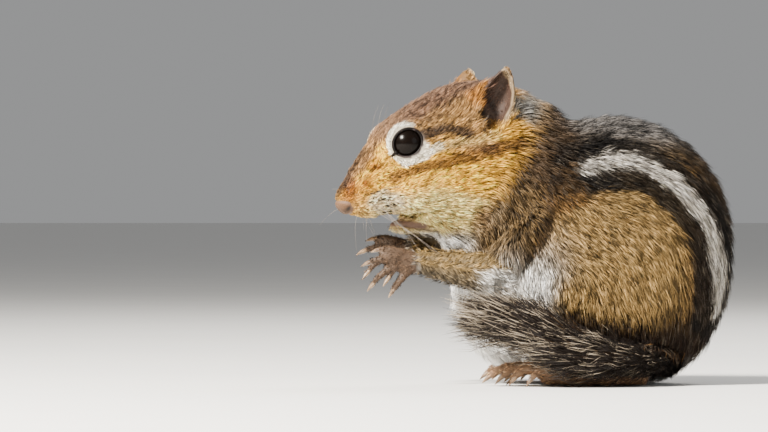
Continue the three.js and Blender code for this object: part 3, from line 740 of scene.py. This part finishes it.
# behind the nose, above the axis, outwards: place and direction in the head's frame
faceLie = [
    ((4, 3, 0), (1, 0.4, 0)), ((14, 8, 3), (1, 0.5, 0.1)), ((24, 12, 4), (1, 0.25, 0.1)),
    ((38, 13, 5), (1, 0.05, 0.1)),
    ((8, -3, 5), (0.8, -0.1, 0.5)), ((11, -6, 6), (0.7, -0.55, 0.5)), ((16, 1, 8), (1, 0.0, 0.3)),
    ((24, -3, 12), (1, -0.12, 0.2)), ((32, 2, 13), (1, 0.06, 0.2)), ((28, -12, 12), (0.9, -0.4, 0.2)),
    ((40, -6, 14), (0.95, -0.3, 0.1)), ((27, 8, 10), (1, 0.15, 0.2)), ((18, -14, 4), (0.9, -0.6, 0.3)),
    ((36, 8, 10), (0.7, 0.75, 0.2)), ((48, 4, 8), (1, -0.35, 0.1)),
]


def blendLie(points, table, radius):
    total = np.zeros((len(points), 3))
    for place, direction in table:
        d = points - np.array(place, float)
        w = 1 / (1 + (d * d).sum(axis=1) / radius ** 2) ** 3
        total += w[:, None] * unit(np.array(direction, float))
    return unit(total)


def lieOf(points, normals, regions):
    sign = np.where(points[:, 1] < midY, -1.0, 1.0)
    folded = np.stack([points[:, 0], np.abs(points[:, 1] - midY), points[:, 2]], axis=1)
    body = blendLie(folded, bodyLie, 7)
    body[:, 1] *= sign
    local = regions["local"]
    face = blendLie(nearerSide(local), faceLie, 5)
    away = unit(fromEye(local) * np.array([1, 1, 0])) @ eyeAxes
    near = 1 - ramp(eyeDistance(local), 5.2, 8.0)
    inwards = np.minimum((face * away).sum(axis=1), 0)
    face = face + (0.35 - inwards)[:, None] * away * near[:, None]
    face[:, 2] *= np.where(local[:, 2] < 0, -1.0, 1.0)
    ear, reached = earReach(local)
    backwards = np.array([0.75, -0.6, 0.3]) * frontEdge(ear)[:, None]
    face = blend(face, earTip + backwards, 1 - ramp(reached, 1.05, 1.3))
    lie = blend(body, face @ headBasis, regions["head"])
    for which in sides.values():
        start, wrist = armLine(which)
        same = np.sign(start[1] - points[:, 1]) == np.sign(start[1] - midY)
        same = same | (np.abs(points[:, 1] - start[1]) < 12)
        share = np.maximum(regions["forearm"], regions["hand"]) * same
        lie = blend(lie, unit(wrist - start + np.array([0, 0, -1.5])), share)
    lie = blend(lie, np.array([-1.0, 0, -0.1]), regions["foot"])
    lie = blend(lie, tailAlong[regions["tailIndex"]], regions["tail"])
    return unit(lie - (lie * normals).sum(axis=1)[:, None] * normals)


# the coat

# how tufts gather, how deep their roots are sunk, and how bright root, middle and tip are: dark roots are
# partly the hair's darker base and partly painted shade down in the coat, bright tips a painted highlight;
# the last three are the shares of tufts with dark, sunlit and pale tips, the sunlit ones a painted highlight
coat = {"clump": 0.42, "perPiece": 19000, "patchRows": (-1, 0, 1), "sunk": 0.12, "root": 0.2, "middle": 0.9,
        "tip": 1.6, "toneSpread": 0.38, "ticked": 0.4, "sunlit": 0.2, "frosted": 0.2}
uvPatch = 0.0015  # half a tuft's patch in the baked picture
nosePad = {"centre": (4.4, -1.2, 0), "lowest": -3.6, "highest": 0.5, "half": 3.0, "deepest": 3.3,
           "swell": 0.34}

vertexIndex = np.zeros(len(skinMesh.polygons) * 3, dtype=np.int64)
skinMesh.polygons.foreach_get("vertices", vertexIndex)
triangles = vertexIndex.reshape(-1, 3)
uvFlat = np.zeros(len(skinMesh.loops) * 2)
skinMesh.uv_layers["OFBake"].data.foreach_get("uv", uvFlat)
triangleUv = uvFlat.reshape(-1, 3, 2)
corners = points[triangles]
areas = 0.5 * np.linalg.norm(np.cross(corners[:, 1] - corners[:, 0], corners[:, 2] - corners[:, 0]), axis=1)


def vertexValue(values):
    return values[triangles].mean(axis=1)


headShare = vertexValue(regions["head"])
limbShare = vertexValue(np.maximum(np.maximum(regions["forearm"], regions["hand"]), regions["foot"]))
onTail = vertexValue(regions["tail"])
bodyShare = np.clip(1 - headShare - limbShare - onTail, 0, 1)
localCentre = vertexValue(regions["local"])
faceCentre = headSideView(vertexValue(points))


def inNosePad(local):  # 0 in the pad's middle, 1 at its edge
    middle = (nosePad["lowest"] + nosePad["highest"]) / 2
    tall = (nosePad["highest"] - nosePad["lowest"]) / 2
    back = np.maximum(local[:, 0] - 0.8, 0) / nosePad["deepest"]
    up = (local[:, 1] - middle) / tall
    return np.sqrt(up ** 2 + (local[:, 2] / nosePad["half"]) ** 2 * 0.55 + back ** 2)


bare = (inNosePad(localCentre) < 1.0) | (lidReach(localCentre, 0.1) <= 1)
for path, half in ((slitPath, 2.4), (lipPath, 3.4), (canalPath, 3.6)):
    bare = bare | (pathDistance(faceCentre, path) < half)
earAt, earShare = earReach(localCentre)
inCup = (earShare < 0.93) & (earAt[:, 0] > -7)
headWeight = headShare * (1 - limbShare) * (~bare) * np.where(inCup, 0.1, 1.0)
headWeight = headWeight * (1.7 - 0.9 * ramp(localCentre[:, 0], 12, 34))
lowDown = ramp(vertexValue(points)[:, 2], 0.2, 0.8)


def sampleSkin(weight, count):
    share = areas * weight
    picked = rng.choice(len(areas), size=count, p=share / share.sum())
    u = rng.random((count, 2))
    flip = u.sum(axis=1) > 1
    u[flip] = 1 - u[flip]
    bary = np.stack([1 - u.sum(axis=1), u[:, 0], u[:, 1]], axis=1)
    spot = (corners[picked] * bary[:, :, None]).sum(axis=1)
    normal = unit((normals[triangles[picked]] * bary[:, :, None]).sum(axis=1))
    uv = (triangleUv[picked] * bary[:, :, None]).sum(axis=1)
    return spot, normal, uv


def clumpsOf(spot, every):  # for each tuft, the one that its clump gathers round
    centres = np.arange(0, len(spot), every)
    tree = kdtree.KDTree(len(centres))
    for k, c in enumerate(centres):
        tree.insert(spot[c], k)
    tree.balance()
    return np.array([centres[tree.find(p)[1]] for p in spot])


def gather(tip, leader, pull, spread, most):  # tips drawn to the one that leads their clump
    share = np.clip(rng.normal(pull, spread, len(tip)), 0, most)
    return tip + (tip[leader] - tip) * share[:, None]


def leaning(flow, outwards, angle):
    return flow * np.cos(angle)[:, None] + outwards * np.sin(angle)[:, None]


def crossAxes(flow, outwards):  # a tuft's own sideways and upwards
    side = unit(np.cross(flow, outwards))
    return side, unit(np.cross(side, flow))


# tapered solid tufts of rings of three corners and a tip, each with a patch of its own in the baked picture
def hairMesh(name, rings, tip, tipColour, uv, rows):
    each = 3 * len(rings) + 1
    verts = np.zeros((len(tip), each, 3), dtype=np.float32)
    colours = np.zeros((len(tip), each, 3), dtype=np.float32)
    pattern = [[0, 1, 2]]
    offsets = []
    for k, (centre, side, lift, half, high, colour) in enumerate(rings):
        verts[:, 3 * k] = centre + side * half[:, None]
        verts[:, 3 * k + 1] = centre - side * half[:, None]
        verts[:, 3 * k + 2] = centre + lift * high[:, None]
        colours[:, 3 * k:3 * k + 3] = colour[:, None]
        offsets += [(-1, rows[k]), (1, rows[k]), (0, rows[k])]
    verts[:, -1] = tip
    colours[:, -1] = tipColour
    offsets.append((0, rows[-1]))
    for a in range(each - 4):
        b = a - a % 3 + (a + 1) % 3
        pattern += [[a, a + 3, b], [b, a + 3, b + 3]]
    end = each - 1
    pattern += [[end - 3, end, end - 2], [end - 2, end, end - 1], [end - 1, end, end - 3]]
    faces = (np.arange(len(tip))[:, None, None] * each + np.array(pattern)[None]).reshape(-1, 3)
    mesh = bpy.data.meshes.new(name)
    mesh.vertices.add(verts.shape[0] * each)
    setPoints(mesh, verts)
    mesh.loops.add(len(faces) * 3)
    mesh.loops.foreach_set("vertex_index", faces.ravel())
    mesh.polygons.add(len(faces))
    mesh.polygons.foreach_set("loop_start", np.arange(0, len(faces) * 3, 3))
    smoothShade(mesh)
    corner = uv[:, None, :] + (np.array(offsets) * uvPatch)[None]
    layer = mesh.uv_layers.new(name="OFBake")
    layer.data.foreach_set("uv", corner.reshape(-1, 2)[faces.ravel()].ravel())
    setColours(mesh, np.clip(colours.reshape(-1, 3), 0, 1))
    mesh.update()
    return mesh


def hairPieces(name, sizes, rings, tip, tipColour, uv, material):
    count = len(tip)
    pieces = math.ceil(count / sizes["perPiece"])
    for k in range(pieces):
        part = slice(k * count // pieces, (k + 1) * count // pieces)
        partRings = [[values[part] for values in ring] for ring in rings]
        mesh = hairMesh(f"{name}{k + 1}", partRings, tip[part], tipColour[part], uv[part], sizes["patchRows"])
        yield addObject(f"{name}{k + 1}", mesh, material)


def napeOf(spot):  # the loose hair over the neck
    return ramp(spot[:, 2], 50, 58) * (1 - ramp(spot[:, 0], 0, 8))


# lengths in mm; those of snout, cheek, nape, throat, rump, chest, neck and ear edge add to the one before
hair = {"nose": 0.8, "snout": 0.9, "cheek": 1.0, "nape": 1.1, "throat": 0.5, "body": 4.6, "rump": 1.0,
        "chest": 0.6, "neck": 1.5, "forearm": 2.2, "hand": 0.9, "foot": 1.0, "ear": 0.8, "earEdge": 2.6}


# lengths and widths by region, in mm
def hairSizes(spot, regions):
    local = regions["local"]
    face = hair["nose"] + hair["snout"] * ramp(local[:, 0], 1.5, 6) + hair["cheek"] * ramp(local[:, 0], 6, 26)
    face += hair["nape"] * ramp(local[:, 0], 34, 48)
    face += hair["throat"] * ramp(-local[:, 1], 2, 12) * ramp(local[:, 0], 14, 24)
    length = hair["body"] + hair["rump"] * ramp(spot[:, 0], 20, 42)
    length += hair["chest"] * (1 - ramp(spot[:, 0], -14, -4)) + hair["neck"] * napeOf(spot)
    others = {"head": face, "forearm": hair["forearm"], "hand": hair["hand"], "foot": hair["foot"]}
    length = byRegion(length, regions, others)
    ear, reached = earReach(local)
    onEar = 1 - ramp(reached, 1.05, 1.25)
    length = length * (1 - onEar) + (hair["ear"] + hair["earEdge"] * frontEdge(ear)) * onEar
    length *= 0.45 + 0.55 * ramp(eyeDistance(local), 5.0, 8.5)
    return length, np.maximum(0.125, 0.07 + 0.021 * length)


# short coat over one stretch of the skin: how many tufts, how many degrees they rise, and the noise's shift
def makeCoat(name, weight, sizes):
    count = sizes["tufts"] // 1
    spot, normal, uv = sampleSkin(weight, count)
    local = regionsOf(spot)
    lie = lieOf(spot, normal, local)
    length, width = hairSizes(spot, local)
    length = (length * rng.uniform(0.72, 1.2, count))[:, None]
    swing = 0.2 * wave(spot, 3.4, sizes["shift"]) + rng.normal(0, 0.14, count)
    lie = unit(lie + np.cross(normal, lie) * swing[:, None])
    rise = sizes["rise"] * (1 + 0.4 * wave(spot, 2.6, sizes["shift"] + 2)) + rng.normal(0, 5, count)
    rise = np.radians(rise) + 0.22 * napeOf(spot) * (1 - local["head"])
    rise = np.clip(rise, np.radians(4), np.radians(70))
    middle = spot + length * 0.5 * leaning(lie, normal, rise * 1.25)
    tip = spot + length * leaning(lie, normal, rise * 0.85)
    leader = clumpsOf(spot, 3)
    tip = gather(tip, leader, coat["clump"], 0.15, 0.9)
    overEye = lidReach(inHead(tip), 0.1) < 1
    tip[overEye] = spot[overEye] + (tip[overEye] - spot[overEye]) * 0.3
    middle[overEye] = (spot[overEye] + tip[overEye]) / 2
    tip[:, 2] = np.maximum(tip[:, 2], 0.1)
    middle[:, 2] = np.maximum(middle[:, 2], 0.12)
    base = spot - normal * coat["sunk"]
    colour = markings(spot, normal, local)
    tone = 1 + coat["toneSpread"] * rng.normal(0, 1, count)[leader] + 0.1 * rng.normal(0, 1, count)
    shaded = colour * np.clip(tone, 0.3, 1.7)[:, None]
    brightness = colour.mean(axis=1)
    pick = 0.72 * rng.random(count)[leader] + 0.28 * rng.random(count)
    ticked = (pick < coat["ticked"]) & (brightness > 0.05) & (brightness < 0.765)
    sunlit = (pick > 1 - coat["sunlit"]) & (brightness > 0.03) & (brightness < 0.5)
    frosted = (pick < coat["frosted"]) & (brightness < 0.03)
    # roots dark and tips bright: painted shade in the coat and painted highlight on the tips; ticked tips are
    # the hair's own dark bands, sunlit ones a further painted highlight
    mid = shaded * coat["middle"]
    mid[ticked] *= 0.5
    end = shaded * coat["tip"]
    end[ticked] *= 0.1
    end[sunlit] *= np.array([1.35, 1.25, 1.0])
    end[frosted] = paint["tailTip"] * 0.4
    half = width * 0.5
    rings = [(base, *crossAxes(unit(middle - base), normal), half * 0.7, half * 0.6, shaded * coat["root"]),
             (middle, *crossAxes(unit(tip - middle), normal), half, half * 0.7, mid)]
    for piece in hairPieces(name, coat, rings, tip, end, uv, coatMaterial):
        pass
    print(name, count, "tufts")


makeCoat("bodyCoat", bodyShare * lowDown, {"tufts": 64000, "rise": 22, "shift": 0.3})
makeCoat("faceCoat", headWeight, {"tufts": 46000, "rise": 17, "shift": 1.1})
limbWeight = np.clip(limbShare * (1 - onTail), 0, 1) * lowDown
makeCoat("limbCoat", limbWeight, {"tufts": 13000, "rise": 13, "shift": 2.2})

# lengths in mm, spread in degrees, how high the hair lies over the toes
tailHair = {"tufts": 18000, "perPiece": 9000, "patchRows": (-1, -0.3, 0.4, 1), "clump": 0.42, "length": 2.4,
            "longer": 12.6, "spread": 13, "overToes": 6.4}


# the tail's long hair, buff at the root, then black, then frosted
def makeTail():
    count = tailHair["tufts"] // 1
    spot, normal, uv = sampleSkin(onTail ** 4 * lowDown, count)
    index = nearestOn(spot, tailLine)[1]
    share = tailShare[index]
    along = tailAlong[index]
    outwards = unit(spot - tailLine[index] + 1e-6)
    length = tailHair["length"] + tailHair["longer"] * ramp(share, 0.28, 0.66)
    length = length * rng.uniform(0.55, 1.15, count)
    spread = np.radians(np.clip(np.abs(rng.normal(tailHair["spread"], 9, count)), 3, 36))
    strays = rng.random(count) < 0.04
    spread[strays] *= 1.8
    flat = outwards * np.array([0.9, 0.5, 0.85]) + np.array([0, 0, -0.25])
    swing = rng.normal(0, 0.12, count) + 0.14 * wave(spot, 5, 0.4)
    aside = np.cross(along, outwards) * swing[:, None]
    first = unit(leaning(along, flat, spread * 1.2) + aside)
    last = unit(leaning(along, flat, spread * 0.8) + aside)
    third = (length * 0.34)[:, None]
    one = spot + first * third
    two = one + unit(first + last) * third
    leader = clumpsOf(spot, 7)
    tip = gather(two + last * third, leader, tailHair["clump"], 0.2, 0.85)
    overToes = tailHair["overToes"] * (1 - ramp(one[:, 0], 0, 14)) + 1.4 * rng.random(count)
    for p, low in ((one, 0.25), (two, 0.2), (tip, 0.15)):
        short = np.maximum(overToes + low - p[:, 2], 0)
        p[:, 2] = np.maximum(p[:, 2] + 0.85 * short, low)
    width = 0.11 + 0.005 * length
    tone = rng.normal(1.0, 0.14, count)[:, None]
    # roots darker than the buff, partly painted shade down in the hair; near the base the hair darkens and
    # takes the rump's brown, with its painted shade
    brown = 1 - ramp(share, 0.25, 0.45)
    fade = (1 - brown * 0.6)[:, None]
    root = blend(paint["tailBuff"] * 0.35, paint["rump"] * 0.6, brown) * tone
    dark = blend(paint["tailDark"] * 0.7, paint["rump"] * 0.7, brown) * tone
    pick = 0.7 * rng.random(count)[leader] + 0.3 * rng.random(count)
    pale = (pick < 0.2 + 0.14 * ramp(share, 0.5, 0.9))[:, None]
    end = np.where(pale, paint["tailTip"] * 0.95, paint["tailDark"]) * fade
    late = np.where(pale, paint["tailTip"] * 0.22, paint["tailDark"]) * fade
    buffHair = rng.random(count) < 0.1
    dark[buffHair] = paint["tailBuff"] * 0.7
    axes = crossAxes(unit(tip - spot), outwards)
    rings = []
    for centre, scale, colour in ((spot - normal * 0.1, 0.55, root), (one, 1.0, dark), (two, 0.85, late)):
        half = width * 0.5 * scale
        rings.append((centre, *axes, half, half * 0.8, colour))
    for piece in hairPieces("tailHair", tailHair, rings, tip, end, uv, tailMaterial):
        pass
    print("tail", count, "tufts")


makeTail()

# eyes and lids

# the lid's ring of points, and the dark corner that runs from it towards the nose, along the skin
lidRing = {"points": 28, "above": 0.38}
lidCorner = {"along": (-3.4, -4.0, -4.6, -5.2), "across": -0.1, "radii": (0.3, 0.46, 0.36, 0.1), "above": 0.6}


def eyePoint(side, u, v, reach):
    depth = math.sqrt(max(reach ** 2 - u * u - v * v, 0.3))
    s, h, w = np.array(eyePlace) + np.array([u, v, depth]) @ eyeAxes
    return onHead(s, h, side * w)


def makeEye(name, side):
    centre = onHead(eyePlace[0], eyePlace[1], side * eyePlace[2])
    bm = bmesh.new()
    bmesh.ops.create_uvsphere(bm, u_segments=48, v_segments=32, radius=eyeRadius * mm)
    bmesh.ops.translate(bm, verts=bm.verts, vec=Vector(centre * mm))
    mesh = toMesh(bm, name + "Ball")
    smoothShade(mesh)
    ball = addObject(name + "Ball", mesh, corneaMaterial)
    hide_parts(name)
    ring = []
    for t in np.arange(lidRing["points"]) * 2 * math.pi / lidRing["points"]:
        u = -math.cos(t) * lid["length"] / 2
        v = math.sin(t) * lid["height"] / 2
        ring.append(eyePoint(side, u, v, eyeRadius + lidRing["above"]))
    corner = []
    for u in lidCorner["along"]:
        near = eyePoint(side, u, lidCorner["across"], 9)
        outwards = eyePoint(side, u, lidCorner["across"], 10) - near
        hit = skinTree.ray_cast(Vector(near), -Vector(outwards), 9)[0]
        onLid = eyePoint(side, u, lidCorner["across"], eyeRadius + lidCorner["above"])
        corner.append(onLid if hit is None else np.array(hit))
    tubes = [(ring, [lid["rim"]] * len(ring), True), (corner, lidCorner["radii"], False)]
    lidMesh = tubesMesh(name + "Lid", tubes, sides=3, order=4, resolution=4)
    piece = addObject(name + "Lid", lidMesh, lidMaterial)


skinTree = BVHTree.FromPolygons([Vector(p) for p in points], [tuple(t) for t in triangles])
makeEye("eye_left", 1)
makeEye("eye_right", -1)


# nose: a bare, finely grained pad with a comma-shaped nostril each side

def makeNose():
    bm = bmesh.new()
    bmesh.ops.create_icosphere(bm, subdivisions=6, radius=1)
    mesh = toMesh(bm, "nosePad")
    rays = unit(meshArrays(mesh)[0])
    start = onHead(*nosePad["centre"])
    local = np.zeros((len(rays), 3))
    for k, ray in enumerate(rays):
        hit = skinTree.ray_cast(Vector(start), Vector(ray @ headBasis), 12)[0]
        reach = 0.5 if hit is None else (np.array(hit) - start) @ (ray @ headBasis)
        local[k] = np.array(nosePad["centre"]) + ray * reach
    inside = inNosePad(local)
    groove = np.exp(-(local[:, 2] / 0.24) ** 2) * (1 - ramp(local[:, 1], -1.2, 0.2))
    curl = local[:, 1] + 1.75 - 0.4 * (local[:, 0] - 2.1)
    hole = 1.15 * np.exp(-((local[:, 0] - 2.1) / 1.15) ** 2 - (curl / 0.6) ** 2)
    hole *= ramp(np.abs(local[:, 2]), 0.7, 1.3)
    height = nosePad["swell"] * (1 - ramp(inside, 0.72, 1.08)) - 0.5 * ramp(inside, 1.0, 1.15)
    height -= 0.22 * groove + 0.12 * hole
    local = local + rays * height[:, None]
    setPoints(mesh, local @ headBasis + headOrigin)
    bm = bmesh.new()
    bm.from_mesh(mesh)
    bmesh.ops.delete(bm, geom=[v for v, r in zip(bm.verts, inside) if r > 1.3], context="VERTS")
    bmesh.ops.recalc_face_normals(bm, faces=bm.faces)
    kept = np.flatnonzero(inside <= 1.3)
    bm.to_mesh(mesh)
    bm.free()
    # the nostrils and the groove darker as painted shade in their hollows, the pad lighter towards its top as
    # painted light
    shade = np.clip(1 - 0.95 * hole - 0.4 * groove, 0.03, 1) * (0.85 + 0.3 * ramp(local[:, 1], -2.5, 0.5))
    colour = paint["nose"] * shade[:, None]
    colour = blend(colour, paint["crown"] * 0.6, ramp(inside, 0.7, 1.0))
    setColours(mesh, np.clip(colour[kept], 0, 1))
    smoothShade(mesh)
    piece = addObject("nosePad", mesh, underMaterial)


makeNose()


# claws of horn on every digit

claw = {"finger": 1.7, "toe": 2.3, "sunk": 0.8, "radii": (0.5, 0.55, 0.42, 0.06)}


def clawTube(path, length, bend):
    last = path[-1]
    towards = unit(last - path[-2])
    tip = last + towards * length + bend
    middle = last + towards * length * 0.55 + bend * 0.2
    return ([last - towards * claw["sunk"], last, middle, tip], claw["radii"], False)


def makeClaws():
    tubes = []
    for which in sides.values():
        inwards = np.array([-0.3, which["side"] * 0.7, -0.4])
        for path in fingers:
            tubes.append(clawTube([onHand(which, p) for p in path], claw["finger"], inwards))
        downwards = np.array([0, 0, -0.3])
        for path in toes:
            tubes.append(clawTube([onFoot(which["side"], p) for p in path], claw["toe"], downwards))
    mesh = tubesMesh("claws", tubes, sides=2, order=3, resolution=4)
    low = meshArrays(mesh)[0]
    low[:, 2] = np.maximum(low[:, 2], 0.05)
    setPoints(mesh, low)
    piece = addObject("claws", mesh, clawMaterial)


makeClaws()

# whiskers in rows on each side, short dark bristles between them, and a few fine ones over the left eye
whisker = {"perSide": 11, "rows": 4, "length": (9, 21), "root": 0.045, "tip": 0.012}
bristle = {"perSide": 24, "rows": 4, "radii": (0.3, 0.27, 0.06), "length": 1.25}
brow = {"count": 3, "radii": (0.03, 0.024, 0.01)}


def whiskerTube(seeded, side, row, column):
    s = 6.4 + 1.5 * column + 0.3 * seeded.random()
    root = onHead(s, -2.0 - 1.15 * row, side * (6.0 + 0.25 * column))
    length = seeded.uniform(*whisker["length"])
    back = seeded.uniform(-0.35, 0.5)
    out = headDirection(back, 0.35 - 0.42 * row + seeded.uniform(-0.15, 0.15), side * 0.9)
    droop = np.array([0.1, 0, -0.16]) * length
    line = [root - out * 0.6, root + out * length * 0.35, root + out * length * 0.7 + droop * 0.4,
            root + out * length + droop]
    radii = [whisker["root"], whisker["root"] * 0.9, whisker["root"] * 0.6, whisker["tip"]]
    return (line, radii, False)


def bristleTubes(side, row, column):  # none where the ray from inside the snout leaves no skin
    inner = onHead(5.6 + 1.35 * column + 0.3 * row, -0.6 - 1.15 * row - 0.2 * column, 0)
    hit = skinTree.ray_cast(Vector(inner), Vector(headDirection(0, -0.12 * row, side)), 12)[0]
    if hit is None:
        return []
    flow = headDirection(0.8, -0.1 - 0.15 * row, side * 0.75)
    root = np.array(hit)
    return [([root, root + flow * 0.6, root + flow * bristle["length"]], bristle["radii"], False)]


def makeWhiskers():
    tubes = []
    bristles = []
    seeded = np.random.default_rng(5)
    for side in (1, -1):
        for k in range(whisker["perSide"]):
            tubes.append(whiskerTube(seeded, side, k % whisker["rows"], k // whisker["rows"]))
        for k in range(bristle["perSide"]):
            bristles += bristleTubes(side, k % bristle["rows"], k // bristle["rows"])
    out = headDirection(0.4, 0.9, 0.25)
    for k in range(brow["count"]):
        root = onHead(15 + 1.4 * k, 12.6 - 0.3 * k, 3.2)
        line = [root - out, root + out * 3, root + out * 6 + np.array([1.2, 0, -0.5])]
        tubes.append((line, brow["radii"], False))
    mesh = tubesMesh("whiskers", tubes, sides=0, order=3, resolution=5)
    piece = addObject("whiskers", mesh, whiskerMaterial)
    mesh = tubesMesh("bristles", bristles, sides=1, order=3, resolution=3)
    piece = addObject("bristles", mesh, bristleMaterial)


makeWhiskers()
print("eyes, nose, claws and whiskers made")

# floor, world and soft studio light

floorMaterial, floorTree, floorShader = newMaterial("palePaintedFloor")
setShader(floorShader, Roughness=0.9)
noisyTones(floorTree, floorShader, 14.0, 3.0, "#DEDCD9", "#E4E3E0")
bm = bmesh.new()
bmesh.ops.create_circle(bm, cap_ends=True, segments=64, radius=30)
floor = addObject("floor", toMesh(bm, "floor"), floorMaterial, None)

world = bpy.data.worlds.new("softRoom")
world.use_nodes = True
world.node_tree.nodes["Background"].inputs[0].default_value = (*linear("#E8E9EA"), 1)
world.node_tree.nodes["Background"].inputs[1].default_value = 0.4
bpy.context.scene.world = world


def areaLight(name, place, target, size, power, colour):
    data = bpy.data.lights.new(name, "AREA")
    data.shape = "DISK"
    data.size = size
    data.energy = power
    data.color = colour
    light = bpy.data.objects.new(name, data)
    light.location = place
    aim = Vector(target) - Vector(place)
    light.rotation_euler = aim.to_track_quat("-Z", "Y").to_euler()
    bpy.context.scene.collection.objects.link(light)


areaLight("keyFromUpperLeft", (-0.5, -0.5, 0.62), (0, 0, 0.04), size=0.2, power=50, colour=(1, 0.95, 0.86))
areaLight("fillFromRight", (0.7, -0.6, 0.35), (0, 0, 0.03), size=0.6, power=1.6, colour=(0.93, 0.96, 1))
areaLight("rimFromBehind", (0.3, 0.6, 0.7), (0, 0, 0.05), size=0.5, power=6, colour=(1, 0.98, 0.95))
